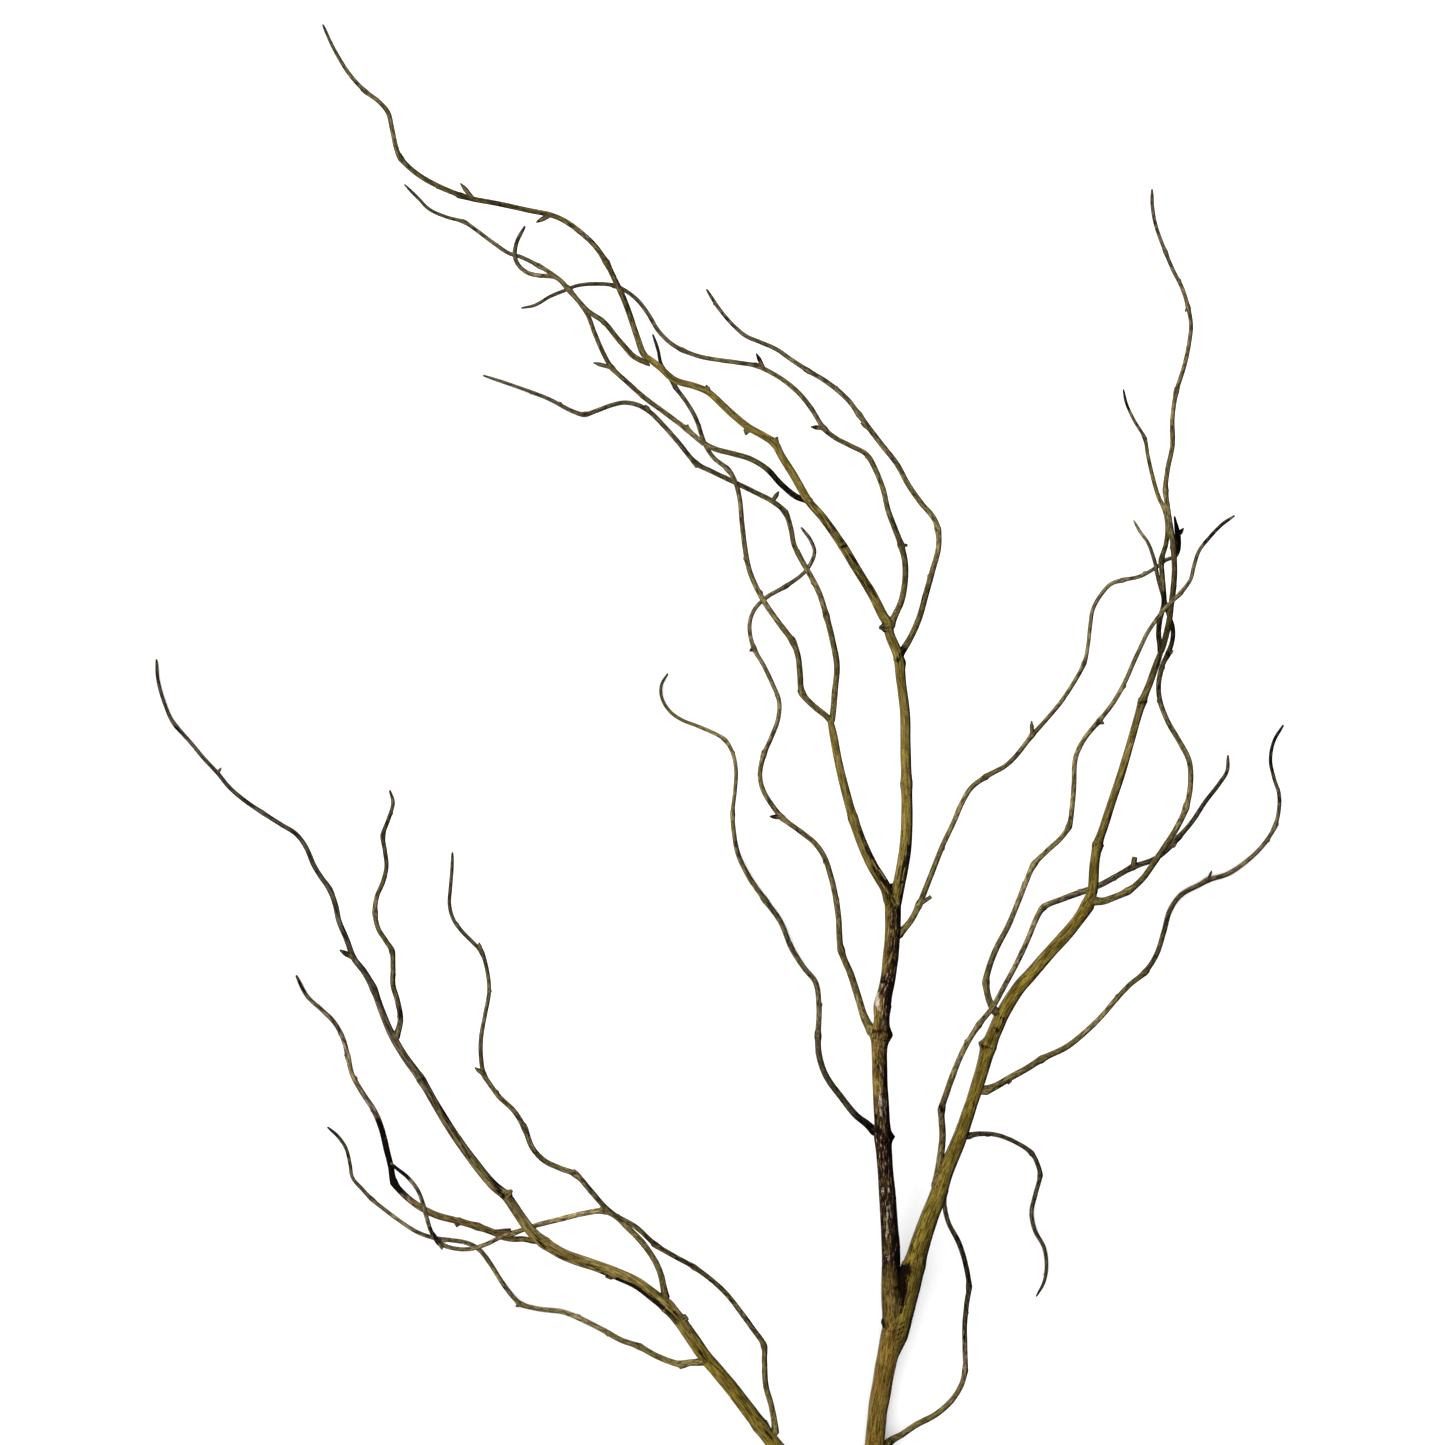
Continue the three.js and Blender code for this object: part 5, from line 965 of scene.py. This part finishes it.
def rolled_sheet(name, line, places, radii, sides, relief, paint, coat, sawn_rows=()):
    """A sheet rolled round a line and closed at its seam and ends, with its bark's own places."""
    rows = len(places) - 1
    bpy.ops.object.select_all(action="DESELECT")
    bpy.ops.mesh.primitive_grid_add(x_subdivisions=sides, y_subdivisions=rows, size=1)
    sheet = bpy.context.object
    sheet.name = name
    sheet.data.name = name
    mesh = sheet.data
    for material in coat:
        mesh.materials.append(material)
    flat = np.zeros(len(mesh.vertices) * 3)
    mesh.vertices.foreach_get("co", flat)
    flat = flat.reshape(-1, 3)
    row = np.round((flat[:, 1] + 0.5) * rows).astype(int)
    turn = -2 * math.pi * np.round((flat[:, 0] + 0.5) * sides) / sides
    points, travel, right, above = [part[row] for part in stations(line, places)]
    outward = right * np.cos(turn)[:, None] + above * np.sin(turn)[:, None]
    place = places[row]
    radius = radii[row]
    bare_points = points + outward * radius[:, None]
    reach = radius * (1 + relief(place, turn))
    spots = points + outward * reach[:, None]
    spots[:, 2] = np.maximum(spots[:, 2], 0)
    mesh.vertices.foreach_set("co", spots.ravel())
    bark_place = np.stack([np.cos(turn) * radius, np.sin(turn) * radius, place], axis=1)
    dress(mesh, bark_place, *paint(place, turn, bare_points, outward))
    if len(sawn_rows):
        corners = np.zeros(len(mesh.loops), dtype=np.int32)
        mesh.loops.foreach_get("vertex_index", corners)
        face_row = row[corners.reshape(-1, 4)].min(axis=1)
        mesh.polygons.foreach_set("material_index", np.isin(face_row, sawn_rows).astype(np.int32))
    bpy.ops.object.mode_set(mode="EDIT")
    bpy.ops.mesh.select_all(action="SELECT")
    bpy.ops.mesh.remove_doubles(threshold=SEAM_GAP)
    bpy.ops.object.mode_set(mode="OBJECT")
    return sheet


def round_end(places, radii):
    """The same rings with a rounded end beyond the last."""
    last = radii[-1]
    reaches = [last * math.sqrt(1 - share ** 2) for share in EDGE_SHARES]
    places = np.concatenate([places, [places[-1] + reach for reach in reaches], [places[-1] + last]])
    radii = np.concatenate([radii, [last * share for share in EDGE_SHARES], [0]])
    return places, radii


def closed_start(places, radii):
    """The same rings, closed by a point at the first."""
    return np.concatenate([[places[0]], places]), np.concatenate([[0], radii])


def sawn_start(places, radii):
    """The same rings, closed by a sawn face at the first, and which rows of faces are sawn."""
    shares = np.array(CUT_SHARES)
    face = places[0] + SAW_DEPTH * (1 + np.sin(shares * SAW_WAVE))
    edge = places[0] + SAW_EDGE
    later = places > edge + SAW_ROOM
    first = np.interp(edge, places, radii)
    places = np.concatenate([face, [edge], places[later]])
    radii = np.concatenate([radii[0] * shares, [first], radii[later]])
    return places, radii, range(len(CUT_SHARES) - 1)


def cut_end(places, radii):
    """The same rings, closed by an old cut face at the last."""
    shares = np.array(CUT_SHARES[::-1])
    face = places[-1] + CUT_DEPTH * np.sin(shares * CUT_WAVE)
    return np.concatenate([places, face]), np.concatenate([radii, radii[-1] * shares])


def sprout_line(shoot, entry):
    """The line of a spur or stub, its parent's half thickness there in mm, and its own values."""
    at, across, down, rise, *own = entry
    radius = along(shoot["thick"], route_shares(shoot["route"])[at]) / 2
    root_across, root_down, lift = shoot["route"][at]
    root = placed(root_across, root_down, (lift + radius) * MILLIMETRE)
    tip = placed(across, down, (lift + radius + rise) * MILLIMETRE)
    arch = SPUR_ARCH * np.linalg.norm(tip - root) * UP
    bends = [root * (1 - share) + tip * share + arch for share in SPUR_BENDS]
    return smooth_line([root, *bends, tip]), radius, own


def sprout(shoot, number, entry, cut, coat, chance):
    """A short spur, or a short end that was cut, out of a shoot."""
    short, radius, own = sprout_line(shoot, entry)
    looks = MARKS[shoot["name"]]
    own_share = own[0] if own else SPUR_SHARE
    own_dark = own[1] if len(own) > 1 else looks.get("sprout_dark", SPUR_DARK)
    base = radius * MILLIMETRE * own_share
    places = np.linspace(0, short["length"], max(int(short["length"] / RING_STEP), SPUR_RINGS) + 1)
    share = places / short["length"]
    point = STUB_POINT if cut else SPUR_POINT
    radii = base * (1 + (point - 1) * share ** SPUR_TAPER)
    radii += base * SPUR_SWELL * bump(share, SWELL_PLACE, SWELL_REACH) * (STUB_SWELL if cut else 1)
    closed_end = cut_end if cut else round_end
    places, radii = closed_end(*closed_start(places, radii))

    def relief(place, turn):
        ridges = SPUR_RIDGE * np.cos(SPUR_RIDGES * turn + number)
        return ridges + SPUR_SWAY * wander(chance, place, SPUR_WAVE)

    def paint(place, turn, points, outward):
        beyond = place / short["length"] - looks.get("sprout_from", SPUR_DARK_FROM)
        dark = np.clip(beyond * SPUR_DARK_GAIN, 0, own_dark)
        even = np.ones_like(dark)
        kin = looks.get("sprout_kin", SPUR_KIN) * even
        marks = np.stack([dark, kin, SPUR_WEAR * even, side_of(outward)], axis=1)
        return marks, SPUR_TONE * even, SPUR_DUSK * even

    name = f"{shoot['name']}_sprout_{number}"
    return rolled_sheet(name, short, places, radii, SPUR_SIDES, relief, paint, coat)


def bud_form():
    """One bud, pointing up, a little flattened, its base at the origin and one long."""
    bpy.ops.object.select_all(action="DESELECT")
    bpy.ops.mesh.primitive_uv_sphere_add(
        segments=BUD_SIDES, ring_count=BUD_RINGS, radius=0.5, location=(0, 0, 0.5))
    bud = bpy.context.object
    bud.name = "bud_form"
    bpy.ops.object.transform_apply(location=True)
    bpy.ops.object.mode_set(mode="EDIT")
    bpy.ops.mesh.select_all(action="SELECT")
    bpy.ops.transform.resize(value=BUD_WIDTHS, center_override=(0, 0, 0))
    bpy.ops.mesh.select_all(action="DESELECT")
    bpy.ops.object.mode_set(mode="OBJECT")
    for vertex in bud.data.vertices:
        vertex.select = vertex.co.z > BUD_NECK
    bpy.ops.object.mode_set(mode="EDIT")
    bpy.ops.transform.resize(value=BUD_TIP_WIDTHS, center_override=(0, 0, 0))
    bpy.ops.transform.translate(value=BUD_TIP_MOVE)
    bpy.ops.object.mode_set(mode="OBJECT")
    return bud


def bud_copy(form, name, point, travel, outward, size, coat):
    """A bud of its own at a point of the bark, leaning on the shoot."""
    lean = unit(travel * BUD_LEAN[0] + outward * BUD_LEAN[1])
    wide = unit(np.cross(lean, outward))
    thick = np.cross(wide, lean)
    shape = np.zeros(len(form.data.vertices) * 3)
    form.data.vertices.foreach_get("co", shape)
    shape = shape.reshape(-1, 3)
    copy = form.copy()
    copy.data = form.data.copy()
    copy.name = name
    for material in coat:
        copy.data.materials.append(material)
    bpy.context.collection.objects.link(copy)
    turned = shape[:, :1] * -thick + shape[:, 1:2] * -wide + shape[:, 2:] * lean
    spots = point + turned * size
    copy.data.vertices.foreach_set("co", spots.ravel())
    dark = np.clip(shape[:, 2] * BUD_DARK, 0, 1)
    even = np.ones_like(dark)
    marks = np.stack([dark, BUD_KIN * even, 0 * even, BUD_SIDE * even], axis=1)
    dress(copy.data, shape * size, marks, BUD_TONE * even, BUD_DUSK * even)
    return copy


def buds_of(shoot, line, nodes, bud_model, coat, chance):
    """The buds on the leaf nodes of a twig, pressed against it."""
    buds = []
    for number, (node, side, _) in enumerate(nodes):
        if chance.random() < BUD_LOST or node > line["length"] - BUD_ROOM:
            continue
        point, travel, right, above = [part[0] for part in stations(line, np.array([node]))]
        outward = right * math.cos(side) + above * math.sin(side)
        radius = along(shoot["thick"], node / line["length"]) / 2 * MILLIMETRE
        size = BUD_LENGTH * chance.uniform(*BUD_SCATTER) * min(radius / BUD_TWIG, 1)
        foot = point + outward * radius * BUD_FOOT
        name = f"{shoot['name']}_bud_{number}"
        buds.append(bud_copy(bud_model, name, foot, travel, outward, size, coat))
    return buds


def bark_rings(shoot, line, nodes):
    """The places and radii of a shoot's rings with its ends closed, and which rows are sawn."""
    parent = BY_NAME.get(shoot["parent"])
    parent_radius = along(parent["thick"], PARENT_PLACE) / 2 * MILLIMETRE if parent else 0
    start = -root_reach(shoot) if shoot.get("straight_on") and "sides" in shoot else 0
    places = ring_places(line, start, nodes)
    radii = shoot_radii(shoot, line, places, parent_radius)
    sawn_rows = ()
    if parent:
        places, radii = closed_start(places, radii)
    else:
        places, radii, sawn_rows = sawn_start(places, radii)
    places, radii = round_end(places, radii)
    return places, radii, sawn_rows


def bark_sheet(shoot, line, nodes, coat):
    """The bark of one shoot alone."""

    def relief(place, turn):
        ridges = ridge_relief(shoot, random.Random(shoot["name"] + " relief"), place, turn)
        return ridges + node_relief(shoot, nodes, place, turn) + own_relief(shoot, line, place, turn)

    def paint(place, turn, points, outward):
        looks = MARKS[shoot["name"]]
        share = place / line["length"]
        # Painted light and shade in the tone: flanks darker than the top, the side away from the key light
        # darker, the side towards it lighter
        flank = np.clip(outward[:, 2] * FLANK_GAIN + FLANK_START, 0, 1)
        lee = outward @ LEE_WAY
        darker = LEE_FALL * np.clip(lee / LEE_REACH + LEE_START, 0, 1)
        lighter = LIT_LIFT * np.clip(-lee / LIT_REACH, 0, 1)
        tone = along(looks["tone"], share) * (FLANK_TONE + (1 - FLANK_TONE) * flank)
        tone *= 1 - darker + lighter
        dusk = along(looks.get("dusk", LIMB_DUSK if "sides" in shoot else TWIG_DUSK), share)
        return shoot_marks(shoot, line, nodes, place, turn, points, outward), tone, dusk

    places, radii, sawn_rows = bark_rings(shoot, line, nodes)
    sides = shoot.get("sides", TWIG_SIDES)
    name = f"{shoot['name']}_bark"
    return rolled_sheet(name, line, places, radii, sides, relief, paint, coat, sawn_rows)


def bark_of(shoot, bud_model, coat):
    """The bark of one shoot with its buds, spurs and cut stubs, as one piece."""
    chance = random.Random(shoot["name"])
    line = shoot_line(shoot)
    nodes = leaf_nodes(shoot, line, chance)
    bark = bark_sheet(shoot, line, nodes, coat)
    extras = []
    for number, spur in enumerate(shoot.get("spurs", [])):
        extras.append(sprout(shoot, number, spur, False, coat, chance))
    for number, stub in enumerate(shoot.get("stubs", []), STUB_NUMBER):
        extras.append(sprout(shoot, number, stub, True, coat, chance))
    if "sides" not in shoot:
        extras.extend(buds_of(shoot, line, nodes, bud_model, coat, chance))
    bpy.ops.object.select_all(action="DESELECT")
    for extra in extras:
        extra.select_set(True)
    bark.select_set(True)
    bpy.context.view_layer.objects.active = bark
    if extras:
        bpy.ops.object.join()
    bpy.ops.object.shade_smooth_by_angle(angle=SMOOTH_ANGLE)
    return bark


def paint_of(red, green, blue):
    """A colour given as on a screen, as the shader takes it."""
    channels = []
    for value in (red, green, blue):
        share = value / 255
        channels.append(share / 12.92 if share <= 0.04045 else ((share + 0.055) / 1.055) ** 2.4)
    return (*channels, 1)


# Colours shared by all the bark, as on a screen under the studio light
STAIN = paint_of(11, 6, 4)
FLECK = paint_of(140, 124, 84)
BARE_WOOD = paint_of(156, 146, 128)
# painted sheen: the grey that the lit side of the bark turns
LIT_SHEEN_GREY = paint_of(132, 124, 104)
DUSK = (paint_of(30, 22, 19), paint_of(128, 115, 99))

# The noises of the bark: how drawn out along the shoot, how fine and how detailed
NOISES = {
    "hair": (0.07, 2000, 2),
    "blotch": (0.35, 150, 3),
    "patch": (0.4, 90, 2),
    "speck": (0.5, 1200, 1),
    "crumb": (0.5, 2600, 2),
    "drift": (0.3, 110, 2),
    "cloud": (0.25, 300, 1),
}

# Between which values of a noise one look of the bark turns into the next. Where there are four,
# the last two are how far that look goes
TO_MIDDLE = (0.36, 0.5)
TO_LIGHT = (0.51, 0.64)
TO_KIN_LIGHT = (0.41, 0.57)
TO_DUSK_LIGHT = (0.38, 0.62)
OWN_KIN = (0.5, 0.64, 0.0)
RAGGED_KIN = (0.3, 0.6, 0.45, 1.0)
OWN_DUSK = (0.48, 0.64, 0.0)
RAGGED_DUSK = (0.3, 0.55, 0.7, 1.0)
DARK_HAIR = (0.36, 0.52)
DARK_SMUDGE = (0.34, 0.46)
PALE_SPECK = (0.66, 0.72, 0.0, 0.35)
WORN = (2.6, 3.05, 0.0, 0.9)
# painted sheen on the lit side, by which side the bark faces
LIT_SHEEN_SPREAD = (0.5, 0.0, 0.0, 0.5)
STAINED = (0.3, 1.0, 0.0, 0.98)
# painted shade on the dark side, by which side the bark faces
PAINTED_SHADE_SPREAD = (0.58, 0.8, 0.0, 0.96)
LIGHTNESS = (0.32, 0.68)
ROUGHNESS = (0.3, 0.7, 0.58, 0.82)

# How much each noise adds to the edges of worn and stained bark and of the painted shade
STREAK_WAVE = 1.5
HAIR_WAVE = 0.9
CRUMB_WEAR = 1.6
BARE_SPARES = 0.9  # what pale strokes spare of a stain
WAVE_MIDDLE = 1.75
CRUMB_EDGE = 1.1
SHADE_STREAK = -0.25
SHADE_START = 0.12

# The finest relief, and how strongly dry bark mirrors its surroundings
HAIR_HEIGHT = 0.5  # against the height of the streaks
BUMP_STRENGTH = 0.7
BUMP_DEPTH = 0.5 * MILLIMETRE
SHEEN = 0.006

# Sawn wood
RING_TONES = (paint_of(186, 160, 116), paint_of(142, 110, 68))
CHECK = paint_of(120, 92, 60)
RINGS_IN_A_METRE = 520
RING_NOISE = (1, 260, 3)
RING_WAVE = 0.9  # how far that noise bends the rings
RING_TURN = (0.2, 0.95)
CHECK_NOISE = (1, 2400, 2)
CHECK_TURN = (0.4, 0.7, 0.0, 0.4)
PITH = (0.7 * MILLIMETRE, 1.2 * MILLIMETRE, 0.85, 0.0)
SAWN_ROUGHNESS = (0.3, 0.7, 0.7, 0.9)
SAWN_STRENGTH = 0.3
SAWN_DEPTH = 0.2 * MILLIMETRE


class Recipe:
    """A material's nodes, added one after another."""

    def __init__(self, name):
        self.material = bpy.data.materials.new(name)
        self.material.use_nodes = True
        self.tree = self.material.node_tree
        self.shader = self.tree.nodes["Principled BSDF"]

    def add(self, kind, inputs=None, **values):
        """A node with its settings, and what feeds or fills its inputs."""
        made = self.tree.nodes.new(kind)
        for key, value in values.items():
            setattr(made, key, value)
        for key, value in (inputs or {}).items():
            self.feed(made.inputs[key], value)
        return made

    def feed(self, socket, value):
        """A link from another node's output, or a plain value."""
        if isinstance(value, bpy.types.NodeSocket):
            self.tree.links.new(value, socket)
        else:
            socket.default_value = value

    def complete(self, **inputs):
        """The material, once its shader is fed; a _ stands for a space in the name of an input."""
        for key, value in inputs.items():
            self.feed(self.shader.inputs[key.replace("_", " ")], value)
        return self.material

    def sum(self, operation, first, second, third=0.0):
        """One sum of two or three numbers."""
        made = self.add("ShaderNodeMath", {0: first, 1: second, 2: third}, operation=operation)
        return made.outputs[0]

    def spread(self, value, low, high, to_low=0.0, to_high=1.0):
        """A value spread from one range to another, and held inside it."""
        inputs = {0: value, 1: low, 2: high, 3: to_low, 4: to_high}
        return self.add("ShaderNodeMapRange", inputs, interpolation_type="SMOOTHSTEP").outputs[0]

    def blend(self, share, first, second):
        """Two colours mixed."""
        made = self.add("ShaderNodeMix", {0: share, 6: first, 7: second}, data_type="RGBA")
        return made.outputs[2]

    def noise(self, place, stretch, scale, detail):
        """Noise that is drawn out along the shoot."""
        drawn = self.add("ShaderNodeVectorMath", {0: place, 1: (1, 1, stretch)}, operation="MULTIPLY")
        inputs = {"Vector": drawn.outputs[0], "Scale": scale, "Detail": detail, "Roughness": 0.6}
        return self.add("ShaderNodeTexNoise", inputs).outputs[0]

    def layer(self, name, output):
        """What a mesh carries under a name at each of its points."""
        return self.add("ShaderNodeAttribute", attribute_name=name).outputs[output]

    def relief(self, height, strength, depth):
        """A fine relief that only the light sees."""
        inputs = {"Height": height, "Strength": strength, "Distance": depth}
        return self.add("ShaderNodeBump", inputs).outputs[0]


def patched(recipe, noise, own_range, own_share, mark, ragged_range):
    """Where a second look lies: in patches of its own, and with ragged edges where it is marked."""
    own = recipe.spread(noise, *own_range, own_share)
    marked = recipe.sum("MULTIPLY", mark, recipe.spread(noise, *ragged_range))
    return recipe.sum("MAXIMUM", own, marked)


def streaked(recipe, noises, layers, tones, kin_tones, habit):
    """Streaks in three tones, the second colour and the dusk over them, hairs and specks."""
    streak = noises["streak"]
    to_middle = recipe.spread(streak, *[value + habit["gloom"] for value in TO_MIDDLE])
    to_light = recipe.spread(streak, *[value + habit["gloom"] for value in TO_LIGHT])
    body = recipe.blend(to_light, recipe.blend(to_middle, tones[0], tones[1]), tones[2])
    kin_body = recipe.blend(recipe.spread(streak, *TO_KIN_LIGHT), *kin_tones)
    kin = patched(recipe, noises["blotch"], OWN_KIN, habit["kin"], layers["kin"], RAGGED_KIN)
    body = recipe.blend(kin, body, kin_body)
    dusk_body = recipe.blend(recipe.spread(streak, *TO_DUSK_LIGHT), *DUSK)
    dusk = patched(recipe, noises["patch"], OWN_DUSK, habit["dusk"], layers["dusk"], RAGGED_DUSK)
    body = recipe.blend(dusk, body, dusk_body)
    for kind, between in (("hair", DARK_HAIR), ("smudge", DARK_SMUDGE)):
        body = recipe.blend(recipe.spread(noises[kind], *between, habit[kind], 0.0), body, STAIN)
    return recipe.blend(recipe.spread(noises["speck"], *PALE_SPECK), body, FLECK)


def worn_stained_and_shaded(recipe, noises, layers, body):
    """The same bark where it is worn, stained with frayed edges, greyed on its lit side as a painted sheen,
    or dark on its shaded side as painted shade.
    """
    crumb = noises["crumb"]
    bare = layers["bare"]
    wave = recipe.sum("MULTIPLY", noises["hair"], HAIR_WAVE)
    wave = recipe.sum("MULTIPLY_ADD", noises["streak"], STREAK_WAVE, wave)
    worn = recipe.sum("MULTIPLY_ADD", crumb, CRUMB_WEAR, recipe.sum("ADD", bare, wave))
    body = recipe.blend(recipe.spread(worn, *WORN), body, BARE_WOOD)
    # painted sheen: the lit side turns grey
    body = recipe.blend(recipe.spread(layers["side"], *LIT_SHEEN_SPREAD), body, LIT_SHEEN_GREY)
    spared = recipe.sum("MULTIPLY_ADD", bare, BARE_SPARES, recipe.sum("SUBTRACT", wave, WAVE_MIDDLE))
    frayed = recipe.sum("MULTIPLY_ADD", crumb, CRUMB_EDGE, spared)
    stained = recipe.sum("SUBTRACT", layers["stain"], frayed)
    body = recipe.blend(recipe.spread(stained, *STAINED), body, STAIN)
    # painted shade: the side away from the key light turns nearly black
    painted_shade = recipe.sum("ADD", layers["side"], SHADE_START)
    painted_shade = recipe.sum("MULTIPLY_ADD", noises["streak"], SHADE_STREAK, painted_shade)
    return recipe.blend(recipe.spread(painted_shade, *PAINTED_SHADE_SPREAD), body, STAIN)


def bark_material(name, tones, kin_tones, habit):
    """Bark with lengthwise streaks, blotches, specks and stains, a painted greyish sheen on its lit side
    and painted shade on its dark side.
    """
    recipe = Recipe(name)
    place = recipe.layer("bark_place", "Vector")
    split = recipe.add("ShaderNodeSeparateColor", {0: recipe.layer("marks", "Color")})
    layers = dict(zip(("stain", "kin", "bare"), split.outputs))
    # the side, which the painted light and shade follow
    layers["side"] = recipe.layer("marks", "Alpha")
    layers["dusk"] = recipe.layer("dusk", "Fac")
    noises = {kind: recipe.noise(place, *values) for kind, values in NOISES.items()}
    noises["streak"] = recipe.noise(place, *habit["grain"])
    noises["smudge"] = recipe.noise(place, *habit["blot"])
    body = streaked(recipe, noises, layers, tones, kin_tones, habit)
    body = worn_stained_and_shaded(recipe, noises, layers, body)
    drift, cloud = [recipe.spread(noises[kind], *LIGHTNESS, *habit[kind]) for kind in ("drift", "cloud")]
    # the tone layer holds each shoot's own lightness and the painted light and shade across it
    lightness = recipe.sum("MULTIPLY", recipe.layer("tone", "Fac"), recipe.sum("MULTIPLY", drift, cloud))
    toned = recipe.add("ShaderNodeVectorMath", {0: body, 3: lightness}, operation="SCALE")
    height = recipe.sum("MULTIPLY_ADD", noises["hair"], HAIR_HEIGHT, noises["streak"])
    return recipe.complete(
        Base_Color=toned.outputs[0],
        Roughness=recipe.spread(noises["streak"], *ROUGHNESS),
        Normal=recipe.relief(height, BUMP_STRENGTH, BUMP_DEPTH),
        Specular_IOR_Level=SHEEN)


def sawn_material():
    """Sawn wood: rings round a dark pith, and fine checks."""
    recipe = Recipe("sawn_wood")
    place = recipe.layer("bark_place", "Vector")
    flat = recipe.add("ShaderNodeVectorMath", {0: place, 1: (1, 1, 0)}, operation="MULTIPLY").outputs[0]
    far = recipe.add("ShaderNodeVectorMath", {0: flat}, operation="LENGTH").outputs["Value"]
    even_rings = recipe.sum("MULTIPLY", far, RINGS_IN_A_METRE)
    rings = recipe.sum("MULTIPLY_ADD", recipe.noise(place, *RING_NOISE), RING_WAVE, even_rings)
    ring = recipe.sum("FRACT", rings, 0.0)
    wood = recipe.blend(recipe.spread(ring, *RING_TURN), *RING_TONES)
    fine = recipe.noise(place, *CHECK_NOISE)
    wood = recipe.blend(recipe.spread(fine, *CHECK_TURN), wood, CHECK)
    wood = recipe.blend(recipe.spread(far, *PITH), wood, STAIN)
    return recipe.complete(
        Base_Color=wood,
        Roughness=recipe.spread(fine, *SAWN_ROUGHNESS),
        Normal=recipe.relief(ring, SAWN_STRENGTH, SAWN_DEPTH))


def surface_and_light():
    """The pale surface, the soft key light from the upper left and the pale surroundings."""
    bpy.ops.object.select_all(action="DESELECT")
    bpy.ops.mesh.primitive_plane_add(size=FLOOR_SIZE, location=(0, 0, 0))
    floor = bpy.context.object
    floor.name = "pale_surface"
    tone = (FLOOR_TONE, FLOOR_TONE, FLOOR_TONE, 1)
    pale = Recipe("pale_surface").complete(
        Base_Color=tone, Roughness=FLOOR_ROUGHNESS, Specular_IOR_Level=FLOOR_SHEEN)
    floor.data.materials.append(pale)
    bpy.ops.object.light_add(type="AREA", location=KEY_PLACE)
    key = bpy.context.object
    key.name = "key_light"
    key.data.shape = "SQUARE"
    key.data.size = KEY_SIZE
    key.data.energy = KEY_POWER
    key.rotation_euler = Vector(KEY_PLACE).to_track_quat("Z", "Y").to_euler()
    world = bpy.data.worlds.new("pale_surroundings")
    bpy.context.scene.world = world
    world.use_nodes = True
    background = world.node_tree.nodes["Background"]
    background.inputs["Color"].default_value = (1, 1, 1, 1)
    background.inputs["Strength"].default_value = SURROUNDINGS


def overhead_camera():
    """The camera right above the middle of the view, looking straight down."""
    bpy.ops.object.select_all(action="DESELECT")
    bpy.ops.object.camera_add(location=(MIDDLE_X, MIDDLE_Y, EYE_HEIGHT), rotation=(0, 0, 0))
    camera = bpy.context.object
    camera.name = "overhead_camera"
    width = 2 * SIGHT_MIDDLE[0] * SIGHT_SCALE
    camera.data.sensor_width = SENSOR_WIDTH
    camera.data.lens = SENSOR_WIDTH * EYE_HEIGHT / width
    camera.data.clip_end = FAR_LIMIT
    bpy.context.scene.camera = camera


def bark_materials():
    """The four barks, by the names that the shoots use, each with the slot it belongs to."""
    olive = (paint_of(78, 63, 23), paint_of(110, 95, 43), paint_of(142, 125, 70))
    golden = (paint_of(73, 57, 12), paint_of(125, 108, 40))
    ruddy = (paint_of(74, 50, 14), paint_of(122, 96, 38))
    grey = (paint_of(60, 49, 22), paint_of(107, 94, 48), paint_of(146, 133, 84))
    brown = (paint_of(42, 28, 16), paint_of(130, 112, 80))
    black = (paint_of(13, 6, 6), paint_of(40, 25, 19), paint_of(138, 118, 90))
    earth = (paint_of(64, 49, 20), paint_of(113, 93, 43))
    # A bark's habit: the noises of its streaks and smudges, how far the dark streaks spread, how
    # strong its second colour, hairs, smudges and dusk are, and how far its lightness drifts
    limb_habit = {
        "grain": (0.08, 1250, 4), "blot": (0.6, 620, 2), "gloom": 0.0, "kin": 0.35, "hair": 0.4,
        "smudge": 0.4, "dusk": 0.0, "drift": (0.8, 1.2), "cloud": (0.86, 1.14)}
    twig_habit = {
        "grain": (0.18, 1400, 4), "blot": (0.6, 760, 2), "gloom": 0.0, "kin": 0.5, "hair": 0.3,
        "smudge": 0.45, "dusk": 0.5, "drift": (0.56, 1.4), "cloud": (0.86, 1.14)}
    stem_habit = {
        "grain": (0.18, 1000, 4), "blot": (0.45, 480, 2), "gloom": 0.045, "kin": 0.3, "hair": 0.5,
        "smudge": 0.3, "dusk": 0.0, "drift": (0.7, 1.3), "cloud": (0.9, 1.1)}
    return {
        "olive": ("olive_bark", bark_material("olive_bark", olive, golden, limb_habit)),
        "ruddy": ("olive_bark", bark_material("ruddy_bark", olive, ruddy, limb_habit)),
        "grey": ("twig_bark", bark_material("twig_bark", grey, brown, twig_habit)),
        "dark": ("dark_bark", bark_material("dark_bark", black, earth, stem_habit)),
    }


bpy.context.scene.view_settings.view_transform = "Standard"
overhead_camera()
surface_and_light()
BARKS = bark_materials()
SAWN = sawn_material()
BUD = bud_form()
for shoot in SHOOTS:
    slot, bark = BARKS[shoot["bark"]]
    piece = bark_of(shoot, BUD, (bark, SAWN))
    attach(piece, "root")
    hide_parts(shoot["name"])
bpy.data.objects.remove(BUD)
